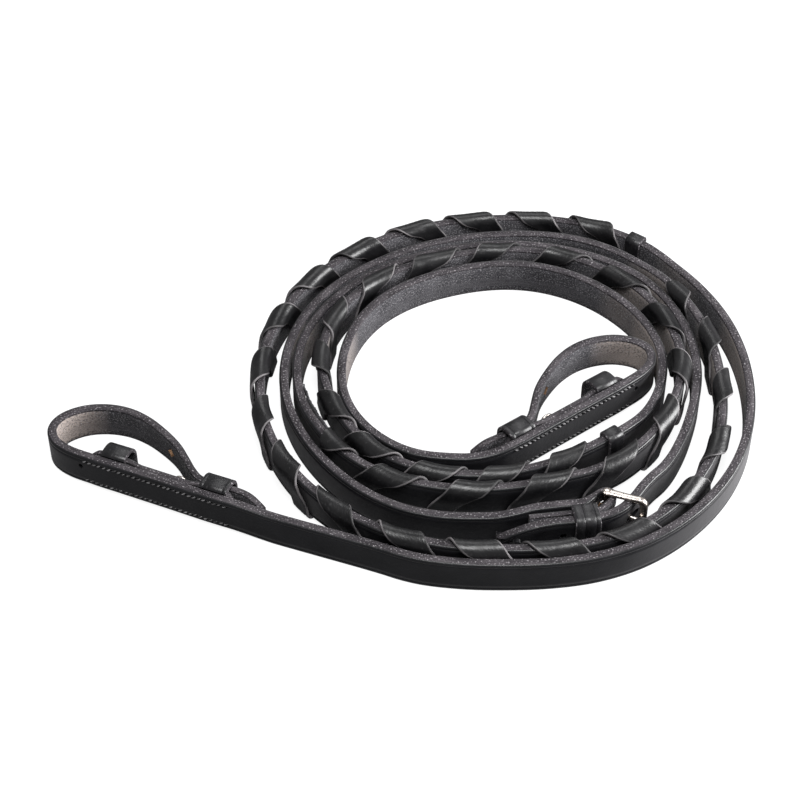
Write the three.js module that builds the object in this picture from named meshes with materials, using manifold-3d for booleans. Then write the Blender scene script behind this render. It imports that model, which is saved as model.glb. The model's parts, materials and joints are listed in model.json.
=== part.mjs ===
// A pair of laced leather reins, coiled and standing on edge on a floor.
// Millimetres, +Z up, origin on the floor at the middle of the whole footprint.
// The two halves lie in one spiral: the left rein runs anticlockwise and winds in,
// the right rein runs clockwise and winds out, and they meet at the centre buckle.

import * as THREE from "three";
import { mergeVertices } from "three/addons/utils/BufferGeometryUtils.js";
import Module from "manifold-3d";

const wasm = await Module();
wasm.setup();

// ---- Driving dimensions ----

const GAP = 0.3; // between any two pieces that rest on each other
const STRAP_WIDTH = 16; // a five-eighths-inch rein
const STRAP_THICKNESS = 4.2;
const HALF_STRAP = STRAP_THICKNESS / 2;
const COIL_STEP = 8; // spacing of the strap's sections along the coil
const LOOP_STEP = 4; // and where it bends tightly
const FLEX_GAP = 1.3; // where a strap is parted so that its end can swing

const LACE_WIDTH = 12.5; // measured along the strap
const LACE_THICKNESS = 1.3;
const LACE_PITCH = 29.35; // the first turn's; each turn adds twice the spread to it
const LACE_SPREAD = 0.14;
const LACE_TURNS = 19;
const LACE_TO_STOP = 23.5; // from the stop's middle to where the lace first crosses the top edge
const LACE_CLEARANCE = 0.5;
const LACE_WALL = LACE_CLEARANCE + LACE_THICKNESS;
const LACED_LIFT = LACE_WALL + 0.1; // the wraps under the strap carry it this far off the floor
const STOP_LENGTH = 8;
const STOP_WALL = 1.4;

const LAY_THICKNESS = 2.6; // the stitched leather that holds the stud and keepers
const LAY_WIDTH = 15;
const BILLET_THICKNESS = 3.2;
const BILLET_WIDTH = 13;
const KEEPER_WALL = 1.6;
const KEEPER_TUCK = 1.0; // the keeper's thinned end, tucked under the lay
const KEEPER_LENGTH = 11;
const KEEPER_LIFT = 1.6;
const THREAD = 0.7;

const BUCKLE_LENGTH = 16.3; // heel bar axis to front bar axis
const BUCKLE_BAR = 2.4; // the front bar
const BUCKLE_SIDE_BAR = 1.7;
const HEEL_RADIUS = 1.3;
const BUCKLE_LIFT = 2.4; // the frame is taller than the strap and lifts it
const CHAPE_THICKNESS = 2.6; // the strap is thinned where it folds round the heel bar
const TONGUE_RADIUS = 1.0;

// ---- Small helpers ----

const clamp = THREE.MathUtils.clamp;
const smoothstep = THREE.MathUtils.smoothstep;
const degrees = THREE.MathUtils.degToRad;
const vec = (x, y, z = 0) => new THREE.Vector3(x, y, z);

// Even steps from one number to another, both ends included.
function range(from, to, step) {
  const count = Math.max(1, Math.round(Math.abs(to - from) / step));
  return Array.from({ length: count + 1 }, (_, i) => from + ((to - from) * i) / count);
}

// Catmull-Rom interpolation of values spaced evenly at 0, 1, 2...
function interpolate(values, at) {
  const last = values.length - 1;
  const i = clamp(Math.floor(at), 0, last - 1);
  const t = at - i;
  const [a, b, c, d] = [-1, 0, 1, 2].map((k) => values[clamp(i + k, 0, last)]);
  const slopeIn = (c - a) / 2;
  const slopeOut = (d - b) / 2;
  const rise = c - b;
  return b + t * (slopeIn + t * (3 * rise - 2 * slopeIn - slopeOut + t * (slopeIn + slopeOut - 2 * rise)));
}

// A plane curve on the floor, followed by arc length. Its outward side is the grain side.
class FloorPath {
  constructor(points, outwardSign) {
    this.curve = new THREE.CatmullRomCurve3(points, false, "centripetal");
    this.curve.arcLengthDivisions = 3000;
    this.length = this.curve.getLength();
    this.outwardSign = outwardSign;
  }

  frame(s) {
    const u = clamp(s / this.length, 0, 1);
    const position = this.curve.getPointAt(u).setZ(0);
    const along = this.curve.getTangentAt(u).setZ(0).normalize();
    const outward = vec(along.y, -along.x).multiplyScalar(this.outwardSign);
    return { position, along, outward };
  }

  // The point at arc length s, offset outward, at height z.
  at(s, offset = 0, z = 0) {
    const { position, outward } = this.frame(s);
    return position.addScaledVector(outward, offset).setZ(z);
  }

  // Arc length of the point nearest to target, searched between two arc lengths.
  nearest(target, from = 0, to = this.length) {
    const flat = target.clone().setZ(0);
    const distance = (s) => this.at(s).distanceTo(flat);
    return range(from, to, 0.5).reduce((best, s) => (distance(s) < distance(best) ? s : best));
  }
}

// ---- Solids ----

function indexedGeometry(positions, triangles) {
  const geometry = new THREE.BufferGeometry();
  geometry.setAttribute("position", new THREE.Float32BufferAttribute(positions, 3));
  geometry.setIndex(triangles);
  return geometry;
}

// Turns the faces outward if the signed volume is negative.
function facingOut(points, triangles) {
  let volume = 0;
  for (let i = 0; i < triangles.length; i += 3) {
    const [a, b, c] = [points[triangles[i]], points[triangles[i + 1]], points[triangles[i + 2]]];
    volume += a.dot(b.clone().cross(c));
  }
  return volume < 0 ? triangles.slice().reverse() : triangles;
}

// A closed solid through a row of sections, each a loop of the same number of points.
function loft(sections) {
  const size = sections[0].length;
  const points = sections.flat();
  const triangles = [];
  for (let row = 0; row + 1 < sections.length; row += 1) {
    for (let k = 0; k < size; k += 1) {
      const a = row * size + k;
      const b = row * size + ((k + 1) % size);
      triangles.push(a, b, b + size, a, b + size, a + size);
    }
  }
  const end = (sections.length - 1) * size;
  for (let k = 1; k + 1 < size; k += 1) {
    triangles.push(0, k + 1, k);
    triangles.push(end, end + k, end + k + 1);
  }
  return indexedGeometry(points.flatMap((p) => p.toArray()), facingOut(points, triangles));
}

function toManifold(geometry) {
  const bare = geometry.clone();
  bare.deleteAttribute("normal");
  bare.deleteAttribute("uv");
  const merged = mergeVertices(bare, 1e-4);
  const vertProperties = new Float32Array(merged.attributes.position.array);
  const triVerts = new Uint32Array(merged.index.array);
  return new wasm.Manifold(new wasm.Mesh({ numProp: 3, vertProperties, triVerts }));
}

function fromManifold(solid) {
  const mesh = solid.getMesh();
  return indexedGeometry(Array.from(mesh.vertProperties), Array.from(mesh.triVerts));
}

function cut(geometry, tools) {
  const solid = tools.reduce((rest, tool) => rest.subtract(toManifold(tool)), toManifold(geometry));
  return fromManifold(solid);
}

function join(pieces) {
  return fromManifold(pieces.map(toManifold).reduce((whole, piece) => whole.add(piece)));
}

// Moves a geometry from its own axes to a place whose axes are x, y and z.
function placed(geometry, origin, x, y, z = vec(0, 0, 1)) {
  const matrix = new THREE.Matrix4().makeBasis(x, y, z).setPosition(origin);
  return geometry.applyMatrix4(matrix);
}

// A rod of round section from one point to another.
function rod(from, to, radiusFrom, radiusTo = radiusFrom, sides = 12) {
  const axis = to.clone().sub(from);
  const geometry = new THREE.CylinderGeometry(radiusTo, radiusFrom, axis.length(), sides);
  const turn = new THREE.Quaternion().setFromUnitVectors(vec(0, 1), axis.clone().normalize());
  const middle = from.clone().add(to).multiplyScalar(0.5);
  return geometry.applyQuaternion(turn).translate(middle.x, middle.y, middle.z);
}

// A rectangular strip that follows a path. Each of offset, thickness, width and middle (the
// height of its centre) is a function of arc length.
function strip(path, stations, { offset, thickness, width, middle }) {
  return loft(
    stations.map((s) => {
      const half = thickness(s) / 2;
      const low = middle(s) - width(s) / 2;
      const high = middle(s) + width(s) / 2;
      return [
        path.at(s, offset(s) - half, low),
        path.at(s, offset(s) + half, low),
        path.at(s, offset(s) + half, high),
        path.at(s, offset(s) - half, high),
      ];
    }),
  );
}

// A leather band round a bundle: a rectangular ring, open along the strap. The tucked wall is at
// inner.from, and the frame's outward side is towards inner.to.
function band({ position, outward }, length, inner, walls) {
  const outline = new THREE.Shape();
  const [left, right] = [inner.from - walls.tuck, inner.to + walls.outer];
  const [bottom, top] = [inner.bottom - walls.outer, inner.top + walls.outer];
  const corner = walls.outer;
  outline.moveTo(left, bottom);
  outline.lineTo(right - corner, bottom);
  outline.absarc(right - corner, bottom + corner, corner, -Math.PI / 2, 0, false);
  outline.absarc(right - corner, top - corner, corner, 0, Math.PI / 2, false);
  outline.lineTo(left, top);
  outline.closePath();
  const opening = new THREE.Path();
  opening.moveTo(inner.from, inner.bottom);
  opening.lineTo(inner.from, inner.top);
  opening.lineTo(inner.to, inner.top);
  opening.lineTo(inner.to, inner.bottom);
  opening.closePath();
  outline.holes.push(opening);
  const ring = new THREE.ExtrudeGeometry(outline, { depth: length, bevelEnabled: false, curveSegments: 4 });
  ring.translate(0, 0, -length / 2);
  // Shape x runs outward, shape y runs up and the extrusion runs along the strap.
  const normal = outward.clone().cross(vec(0, 0, 1));
  return placed(ring, position, outward, vec(0, 0, 1), normal);
}

// ---- The two paths ----

// The bit end in its own axes, shared by both halves: x runs towards the loop, y to the flesh
// side. It starts at the billet's point and comes back along the strap.
const LOOP_POINTS = [
  [12, 8.4],
  [17.5, 11.3],
  [24, 17],
  [31, 22.8],
  [41, 28],
  [51, 31.5],
  [61, 32.6],
  [71, 30.6],
  [80, 25.5],
  [86, 17.5],
  [86.5, 10.5],
  [82, 4.6],
  [73, 1.2],
  [60, 0],
  [48, 0],
  [24, 0],
  [0, 0],
];
const KEEPER_SPACING = 48;
const REAR_KEEPER_OFFSET = 8.4; // from the strap's centre to the billet's, through the keeper

// Where each half's bit end starts, how far towards the loop from there its rear keeper lies, the
// heading of its loop in degrees, the side of the heading that the flesh faces (+1 anticlockwise),
// the billet's first two points, and the strap's next points towards the coil, in the bit end's
// own axes.
const LEFT_END = {
  origin: vec(-121.1, -72.9),
  rearKeeper: 3.6,
  heading: 157.1,
  fleshSign: -1,
  tip: [[-18, 6.4], [-6, 8.4]],
  onwards: [],
};
const RIGHT_END = {
  origin: vec(6.8, -40.3),
  rearKeeper: 5.7,
  heading: 36.6,
  fleshSign: 1,
  tip: [[-16, 11.2], [-6, 9.1]],
  onwards: [[-10, 1.2]],
};

// Each coil is a radius every 30 degrees, as it was laid by hand.
const LEFT_COIL = {
  start: -120,
  step: 30,
  radii: [
    112, 107.5, 111.5, 113, 113, 115.5, 117, 111, 109, 108, 107, 106.5, 104, 101, 105, 103, 100,
    103.5, 107, 101, 98, 98.5, 96.2, 91.5, 88, 81,
  ],
};
const RIGHT_COIL = {
  start: -105,
  step: -30,
  radii: [
    49, 60, 68, 72, 76, 77.5, 81, 80.5, 77.5, 68.5, 58, 56.5, 61, 69, 74.5, 82, 86, 85.5, 89.5,
    90.5, 86, 77.5, 71, 65.5, 69.5, 79, 87, 92.3, 92.5, 92.5, 96, 99, 93, 87, 88,
  ],
};

function coilPoints({ start, step, radii }) {
  return range(0, radii.length - 1, 1 / 3).map((at) => {
    const angle = degrees(start + step * at);
    const radius = interpolate(radii, at);
    return vec(radius * Math.cos(angle), radius * Math.sin(angle));
  });
}

// A bit end's points on the floor, from the billet's tip round the loop and back to the coil.
function bitEndPoints({ origin, heading, fleshSign, tip, onwards }) {
  const x = vec(Math.cos(degrees(heading)), Math.sin(degrees(heading)));
  const y = vec(-x.y, x.x).multiplyScalar(fleshSign);
  const local = [...tip, ...LOOP_POINTS, ...onwards];
  return local.map(([a, b]) => origin.clone().addScaledVector(x, a).addScaledVector(y, b));
}

// The right rein crosses the buckle and ends in a pointed tail.
const BUCKLE_HEEL = vec(43.6, -71.6);
const BUCKLE_HEADING = -19.5;
const RIGHT_TAIL = [
  [57, -70],
  [52.3, -76.3],
  [47, -81],
  [40, -84],
  [32, -85.3],
  [12, -88],
  [-4, -90],
].map(([x, y]) => vec(x, y));

const rightPath = new FloorPath(
  [...bitEndPoints(RIGHT_END), ...coilPoints(RIGHT_COIL), ...RIGHT_TAIL],
  -1,
);
const KEEPER_STATION = rightPath.nearest(vec(34, -84.9), rightPath.length - 90);

// The left rein ends in a chape: it runs in beside the tail, folds round the heel bar and comes
// back between itself and the tail.
const FOLD_RADIUS = HEEL_RADIUS + 0.4 + CHAPE_THICKNESS / 2;
const RETURN_OFFSET = -(HALF_STRAP + 0.7 + CHAPE_THICKNESS / 2);
const MAIN_OFFSET = RETURN_OFFSET - CHAPE_THICKNESS / 2 - KEEPER_TUCK - 2 * GAP - HALF_STRAP - 0.2;
const foldPoints = [125, 80, 35, -10, -55].map((angle) =>
  vec(FOLD_RADIUS * Math.cos(degrees(angle)), FOLD_RADIUS * Math.sin(degrees(angle))).add(BUCKLE_HEEL),
);
const besideTail = (offset, distances) => distances.map((d) => rightPath.at(KEEPER_STATION + d, offset));
const leftPath = new FloorPath(
  [
    ...bitEndPoints(LEFT_END),
    ...coilPoints(LEFT_COIL),
    ...besideTail(MAIN_OFFSET, [22, 12, 6, 0]),
    ...foldPoints,
    ...besideTail(RETURN_OFFSET, [-7, 0, 6, 14, 24]),
  ],
  1,
);

// ---- Places along a half ----

// Arc lengths of the features that both halves share. The swing is where the strap's end bends
// away from the coil, and the lace runs between two places on the coil.
function makeHalf(name, path, end, swingBeyond, laceFrom, laceTo) {
  const middle = path.length / 2;
  const rearKeeper = path.nearest(end.origin, 120, middle) - end.rearKeeper;
  return {
    name,
    path,
    rearKeeper,
    frontKeeper: rearKeeper - KEEPER_SPACING,
    swing: rearKeeper + swingBeyond,
    laceFrom: path.nearest(laceFrom, rearKeeper, middle),
    laceTo: path.nearest(laceTo, middle),
  };
}

const left = makeHalf("left", leftPath, LEFT_END, 45.6, vec(69.6, 94.4), vec(84, 65.5));
const right = makeHalf("right", rightPath, RIGHT_END, 30.7, vec(48.8, -36.1), vec(-82.4, -33));
left.heel = leftPath.nearest(foldPoints[2], leftPath.length - 70);
right.crossing = rightPath.nearest(vec(53.1, -76.9), rightPath.length - 100);

// Heights at which the strap is carried, with a smooth ramp at each end.
const RAMP = 24;
function liftOf(half, s) {
  const stretches = [
    { from: 0, to: 30, height: KEEPER_LIFT },
    { from: half.frontKeeper - 8, to: half.rearKeeper + 8, height: KEEPER_LIFT },
    { from: half.laceFrom - STOP_LENGTH / 2, to: half.laceTo, height: LACED_LIFT },
    half.heel
      ? { from: half.heel - 30, to: half.path.length, height: BUCKLE_LIFT }
      : { from: half.crossing - 10, to: half.path.length, height: BUCKLE_LIFT },
  ];
  const heights = stretches.map(({ from, to, height }) => {
    const rise = smoothstep(s, from - RAMP, from);
    const fall = 1 - smoothstep(s, to, to + RAMP);
    return height * rise * fall;
  });
  return Math.max(...heights);
}

const middleOf = (half) => (s) => liftOf(half, s) + STRAP_WIDTH / 2;

// The billet is narrow in the keeper and has a rounded point.
function billetWidth(s) {
  const taper = BILLET_WIDTH + (STRAP_WIDTH - BILLET_WIDTH) * smoothstep(s, 30, 95);
  return taper * (0.35 + 0.65 * Math.sin((Math.PI / 2) * clamp(s / 9, 0, 1)));
}

function billetThickness(s) {
  return BILLET_THICKNESS + (STRAP_THICKNESS - BILLET_THICKNESS) * smoothstep(s, 40, 110);
}

// A round or oval hole through the strap, across its thickness.
function strapHole(half, s, z, radius, stretch = 1) {
  const { position, along, outward } = half.path.frame(s);
  const hole = new THREE.CylinderGeometry(radius, radius, 3 * STRAP_THICKNESS, 12);
  hole.scale(stretch, 1, 1);
  const up = along.clone().cross(outward);
  return placed(hole, position.setZ(z), along, outward, up);
}

// ---- Sub-parts of each half ----

function bitEndStrap(half) {
  const { path, swing, frontKeeper } = half;
  const billetHole = 58;
  const stations = [0, 3, 6, 9, ...range(12, swing - FLEX_GAP / 2, LOOP_STEP)];
  const body = strip(path, stations, {
    offset: () => 0,
    thickness: billetThickness,
    width: billetWidth,
    middle: middleOf(half),
  });
  const threadHole = frontKeeper - 14;
  return cut(body, [
    strapHole(half, billetHole, middleOf(half)(billetHole), 1.5),
    strapHole(half, threadHole, middleOf(half)(threadHole) + 3.6, 0.9),
  ]);
}

function rightReinStrap(half) {
  const { path, swing, crossing } = half;
  const pointLength = 20;
  const width = (s) => STRAP_WIDTH * (0.2 + 0.8 * clamp((path.length - s) / pointLength, 0, 1));
  const stations = range(swing + FLEX_GAP / 2, path.length, COIL_STEP);
  const body = strip(path, stations, {
    offset: () => 0,
    thickness: () => STRAP_THICKNESS,
    width,
    middle: middleOf(half),
  });
  const spareHoles = [32, 52].map((distance) => strapHole(half, crossing + distance, middleOf(half)(crossing), 1.6));
  const tongueHole = strapHole(half, crossing, middleOf(half)(crossing), 1.7, 1.9);
  return cut(body, [tongueHole, ...spareHoles]);
}

function leftReinStrap(half) {
  const { path, swing, heel } = half;
  const thinFrom = heel - 18;
  const thickness = (s) =>
    STRAP_THICKNESS + (CHAPE_THICKNESS - STRAP_THICKNESS) * smoothstep(s, thinFrom, heel - 8);
  const stations = [
    ...range(swing + FLEX_GAP / 2, heel - 20, COIL_STEP),
    ...range(heel - 17, heel + 12, 1),
    ...range(heel + 15, path.length, 4),
  ];
  const body = strip(path, stations, {
    offset: () => 0,
    thickness,
    width: () => STRAP_WIDTH,
    middle: middleOf(half),
  });
  const slot = new THREE.BoxGeometry(11.6, 9.4, 5.2).translate(2.2, 0, 0);
  return cut(body, [placed(slot, heelCentre, buckleAlong, buckleAcross)]);
}

// Offset of the lay from the strap: it rises over each keeper's tucked end.
function layOffset(half, s) {
  const flat = HALF_STRAP + GAP + LAY_THICKNESS / 2;
  const raised = flat + KEEPER_TUCK + GAP;
  const reach = KEEPER_LENGTH / 2 + 0.6;
  const bump = (centre) => 1 - smoothstep(Math.abs(s - centre), reach, reach + 8);
  return -(flat + (raised - flat) * Math.max(bump(half.frontKeeper), bump(half.rearKeeper)));
}

function studLay(half) {
  const from = half.frontKeeper - 15;
  const to = half.rearKeeper + 11;
  const width = (s) => LAY_WIDTH * (0.45 + 0.55 * smoothstep(Math.min(s - from, to - s), 0, 8));
  return strip(half.path, range(from, to, 3), {
    offset: (s) => layOffset(half, s),
    thickness: () => LAY_THICKNESS,
    width,
    middle: middleOf(half),
  });
}

// A keeper of the bit end: tucked between strap and lay, it holds the lay and the billet.
function bitKeeper(half, s) {
  const { position, outward } = half.path.frame(s);
  const towardsFlesh = { position, outward: outward.negate() };
  const middle = middleOf(half)(s);
  const reach = LAY_WIDTH / 2 + 0.4;
  const inner = {
    from: HALF_STRAP + GAP + KEEPER_TUCK,
    to: REAR_KEEPER_OFFSET + BILLET_THICKNESS / 2 + 0.5,
    bottom: middle - reach,
    top: middle + reach,
  };
  return band(towardsFlesh, KEEPER_LENGTH, inner, { tuck: KEEPER_TUCK, outer: KEEPER_WALL });
}

// A hook stud: a base plate on the lay, a shank, and a head that hooks towards the loop.
function hookStud(half) {
  const s = half.rearKeeper - 18;
  const { position, along, outward } = half.path.frame(s);
  const towardsLoop = along.clone().negate();
  const flesh = outward.clone().negate();
  const height = middleOf(half)(s);
  const face = -layOffset(half, s) + LAY_THICKNESS / 2 + GAP;
  const plate = new THREE.CylinderGeometry(3.2, 3.2, 0.8, 16).translate(0, 0.4, 0);
  const shank = new THREE.CylinderGeometry(1.3, 1.5, 4, 12).translate(0, 2, 0);
  const head = new THREE.SphereGeometry(2.4, 14, 8).scale(1.35, 0.5, 1).translate(1.1, 4.2, 0);
  const origin = position.addScaledVector(flesh, face).setZ(height);
  const up = towardsLoop.clone().cross(flesh);
  return placed(join([plate, shank, head]), origin, towardsLoop, flesh, up);
}

// One row of thread along an edge of the stitched leather, on the grain side.
function stitchRow(half, from, to, side, offset) {
  const height = (s) => middleOf(half)(s) + side * (STRAP_WIDTH / 2 - 2.2);
  return strip(half.path, range(from, to, 6), {
    offset: () => offset,
    thickness: () => THREAD,
    width: () => THREAD,
    middle: height,
  });
}

// The leather band that stops the lace where it begins.
function laceStop(half) {
  const middle = middleOf(half)(half.laceFrom);
  const across = HALF_STRAP + 0.4;
  const reach = STRAP_WIDTH / 2 + 0.4;
  const inner = { from: -across, to: across, bottom: middle - reach, top: middle + reach };
  const frame = half.path.frame(half.laceFrom);
  return band(frame, STOP_LENGTH, inner, { tuck: STOP_WALL, outer: STOP_WALL });
}

// The lace unrolled: it climbs one turn round the strap for each pitch along it. Its section is
// cut along the strap, so that every corner of the strap is met by a whole row of points.
function lace(half) {
  const rows = lacePerimeter();
  const around = rows[rows.length - 1].travelled;
  const toTopEdge = rows[2].travelled / around;
  const station = (turns) =>
    half.laceFrom + LACE_TO_STOP + LACE_PITCH * turns + LACE_SPREAD * turns * turns;
  const sections = [];
  for (let turn = 0; turn < LACE_TURNS; turn += 1) {
    for (const row of rows.slice(0, -1)) {
      const s = station(turn + row.travelled / around - toTopEdge);
      sections.push(laceSection(half, s, row));
    }
  }
  sections.push(laceSection(half, station(LACE_TURNS - toTopEdge), rows[0]));
  return loft(sections);
}

// Points round the strap's section where the lace has a row: each corner and the middle of each
// face. It starts at the middle of the flesh side, goes over the top edge and down the grain side.
function lacePerimeter() {
  const a = HALF_STRAP;
  const h = STRAP_WIDTH / 2;
  const diagonal = Math.SQRT1_2;
  const corners = [
    { x: -a, z: 0, nx: -1, nz: 0 },
    { x: -a, z: h, nx: -diagonal, nz: diagonal },
    { x: 0, z: h, nx: 0, nz: 1 },
    { x: a, z: h, nx: diagonal, nz: diagonal },
    { x: a, z: 0, nx: 1, nz: 0 },
    { x: a, z: -h, nx: diagonal, nz: -diagonal },
    { x: 0, z: -h, nx: 0, nz: -1 },
    { x: -a, z: -h, nx: -diagonal, nz: -diagonal },
    { x: -a, z: 0, nx: -1, nz: 0 },
  ];
  const corner = LACE_THICKNESS * 1.2;
  let travelled = 0;
  return corners.map((point, i) => {
    if (i > 0) {
      const before = corners[i - 1];
      travelled += Math.hypot(point.x - before.x, point.z - before.z) + corner / 2;
    }
    return { ...point, travelled };
  });
}

function laceSection(half, s, row) {
  const reach = row.nx !== 0 && row.nz !== 0 ? Math.SQRT2 : 1;
  const point = (ds, distance) => {
    const at = s + ds;
    const out = distance * reach;
    return half.path.at(at, row.x + row.nx * out, middleOf(half)(at) + row.z + row.nz * out);
  };
  const halfWidth = LACE_WIDTH / 2;
  const inner = [-halfWidth, 0, halfWidth].map((ds) => point(ds, LACE_CLEARANCE));
  const outer = [halfWidth, 0, -halfWidth].map((ds) => point(ds, LACE_WALL));
  return [...inner, ...outer];
}

// ---- Centre buckle ----

const buckleAlong = vec(Math.cos(degrees(BUCKLE_HEADING)), Math.sin(degrees(BUCKLE_HEADING)));
const buckleAcross = vec(-buckleAlong.y, buckleAlong.x);
const heelCentre = BUCKLE_HEEL.clone().setZ(BUCKLE_LIFT + STRAP_WIDTH / 2);

// A D-shaped frame: two side bars and a front bar in one flat piece, and a round heel bar.
function buckleFrame() {
  const inside = STRAP_WIDTH / 2 + 0.6;
  const outside = inside + BUCKLE_SIDE_BAR;
  const back = -HEEL_RADIUS;
  const front = BUCKLE_LENGTH + BUCKLE_BAR / 2;
  const corner = 2;
  const outline = new THREE.Shape();
  outline.moveTo(back, inside);
  outline.lineTo(front - BUCKLE_BAR, inside);
  outline.lineTo(front - BUCKLE_BAR, -inside);
  outline.lineTo(back, -inside);
  outline.lineTo(back, -outside);
  outline.lineTo(front - corner, -outside);
  outline.absarc(front - corner, -outside + corner, corner, -Math.PI / 2, 0, false);
  outline.absarc(front - corner, outside - corner, corner, 0, Math.PI / 2, false);
  outline.lineTo(back, outside);
  outline.closePath();
  const thickness = 2.2;
  const bars = new THREE.ExtrudeGeometry(outline, { depth: thickness, bevelEnabled: false, curveSegments: 5 });
  bars.translate(0, 0, -thickness / 2);
  const reach = outside - 0.3;
  const heel = rod(vec(0, -reach), vec(0, reach), HEEL_RADIUS, HEEL_RADIUS, 16);
  return placed(join([bars, heel]), heelCentre, buckleAlong, vec(0, 0, 1), buckleAcross.clone().negate());
}

// A round tongue with an eye on the heel bar; its tip rests on the outside of the front bar.
function buckleTongue() {
  const eyeRadius = HEEL_RADIUS + 0.3;
  const eye = new THREE.Shape().absarc(0, 0, eyeRadius + 1.1, 0, 2 * Math.PI, false);
  eye.holes.push(new THREE.Path().absarc(0, 0, eyeRadius, 0, 2 * Math.PI, true));
  const ring = new THREE.ExtrudeGeometry(eye, { depth: 2.4, bevelEnabled: false, curveSegments: 12 });
  ring.translate(0, 0, -1.2);
  const tipRest = -(BUCKLE_BAR / 2 + TONGUE_RADIUS + 0.3);
  const root = vec(eyeRadius + 0.5, tipRest * 0.1);
  const tip = vec(BUCKLE_LENGTH + 1.2, tipRest);
  const shaft = rod(root, tip, TONGUE_RADIUS + 0.1, TONGUE_RADIUS);
  return placed(join([ring, shaft]), heelCentre, buckleAlong, buckleAcross);
}

// The keeper of the centre buckle: stitched into the chape, it holds the pointed tail.
function centreKeeper() {
  const middle = middleOf(right)(KEEPER_STATION);
  const reach = STRAP_WIDTH / 2 + 0.5;
  const inner = {
    from: RETURN_OFFSET - CHAPE_THICKNESS / 2 - 0.4,
    to: HALF_STRAP + 0.8,
    bottom: middle - reach,
    top: middle + reach,
  };
  const walls = { tuck: KEEPER_TUCK - 0.1, outer: KEEPER_WALL - 0.1 };
  return band(rightPath.frame(KEEPER_STATION), KEEPER_LENGTH, inner, walls);
}

// ---- Assembly ----

const finish = (color, roughness, metalness = 0) => ({ color, roughness, metalness });
const LEATHER = finish(0x1b1a1c, 0.42);
const LACE_LEATHER = finish(0x121113, 0.3);
const EDGE_LEATHER = finish(0x29262a, 0.55);
const THREAD_BLACK = finish(0x17161a, 0.8);
const NICKEL = finish(0xc9c6bf, 0.25, 1);

const reins = new THREE.Group();

function add(name, geometry, look) {
  const mesh = new THREE.Mesh(geometry, new THREE.MeshStandardMaterial(look));
  mesh.name = name;
  reins.add(mesh);
}

for (const half of [left, right]) {
  const rowFrom = half.frontKeeper - 13;
  const rowTo = half.rearKeeper + 10;
  const grainFace = HALF_STRAP + GAP + THREAD / 2;
  add(`${half.name}_bit_end_strap`, bitEndStrap(half), LEATHER);
  add(`${half.name}_stud_lay`, studLay(half), EDGE_LEATHER);
  add(`${half.name}_front_keeper`, bitKeeper(half, half.frontKeeper), EDGE_LEATHER);
  add(`${half.name}_rear_keeper`, bitKeeper(half, half.rearKeeper), EDGE_LEATHER);
  add(`${half.name}_hook_stud`, hookStud(half), NICKEL);
  add(`${half.name}_stitch_row_top`, stitchRow(half, rowFrom, rowTo, 1, grainFace), THREAD_BLACK);
  add(`${half.name}_stitch_row_bottom`, stitchRow(half, rowFrom, rowTo, -1, grainFace), THREAD_BLACK);
  add(`${half.name}_lace_stop`, laceStop(half), LACE_LEATHER);
  add(`${half.name}_lace`, lace(half), LACE_LEATHER);
}
add("left_rein_strap", leftReinStrap(left), LEATHER);
add("right_rein_strap", rightReinStrap(right), LEATHER);

const chapeRow = [left.heel - 42, left.heel - 22];
const chapeFace = -(HALF_STRAP + GAP + THREAD / 2);
add("chape_stitch_row_top", stitchRow(left, ...chapeRow, 1, chapeFace), THREAD_BLACK);
add("chape_stitch_row_bottom", stitchRow(left, ...chapeRow, -1, chapeFace), THREAD_BLACK);
add("centre_keeper", centreKeeper(), EDGE_LEATHER);
add("buckle_frame", buckleFrame(), NICKEL);
add("buckle_tongue", buckleTongue(), NICKEL);

// The pieces were placed round the coil's centre; the part's origin is the middle of its
// footprint, on the floor.
const footprint = new THREE.Box3().setFromObject(reins).getCenter(vec(0, 0));
reins.position.set(-footprint.x, -footprint.y, 0);

export default reins;
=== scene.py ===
"""The looks of a coiled pair of laced leather reins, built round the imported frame.

Each rein's line is read back from its strap solids, and every soft piece is built along that line.
Lengths are in metres, +Z up.
"""

import json
import math
import random

import bmesh
import bpy
import numpy as np
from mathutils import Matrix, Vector, kdtree, noise


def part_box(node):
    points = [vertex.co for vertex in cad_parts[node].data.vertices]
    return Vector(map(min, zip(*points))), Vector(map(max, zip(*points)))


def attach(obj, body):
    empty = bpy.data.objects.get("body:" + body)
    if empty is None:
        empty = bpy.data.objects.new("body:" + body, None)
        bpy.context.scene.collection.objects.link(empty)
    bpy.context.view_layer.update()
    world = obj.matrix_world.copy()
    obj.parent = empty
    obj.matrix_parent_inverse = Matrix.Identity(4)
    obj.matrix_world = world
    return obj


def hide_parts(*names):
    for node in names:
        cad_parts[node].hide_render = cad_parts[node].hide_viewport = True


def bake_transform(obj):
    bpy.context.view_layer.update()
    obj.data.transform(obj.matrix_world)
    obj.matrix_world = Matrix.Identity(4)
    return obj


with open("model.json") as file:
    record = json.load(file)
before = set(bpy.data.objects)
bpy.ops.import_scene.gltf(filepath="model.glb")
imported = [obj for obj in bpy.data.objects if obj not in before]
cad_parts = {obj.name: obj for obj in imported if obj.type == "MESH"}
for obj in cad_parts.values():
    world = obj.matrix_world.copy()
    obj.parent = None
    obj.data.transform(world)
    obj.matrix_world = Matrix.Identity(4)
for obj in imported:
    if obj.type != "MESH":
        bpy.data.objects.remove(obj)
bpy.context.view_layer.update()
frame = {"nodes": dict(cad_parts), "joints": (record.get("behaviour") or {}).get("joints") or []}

MM = 0.001
UP = np.array([0.0, 0.0, 1.0])
SHARP_ANGLE = math.radians(48)  # an edge that turns more than this is left sharp
EVEN = (1, 1, 1)  # a pattern that isn't stretched

# ---- Sizes of what the frame leaves to this script ----

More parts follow.
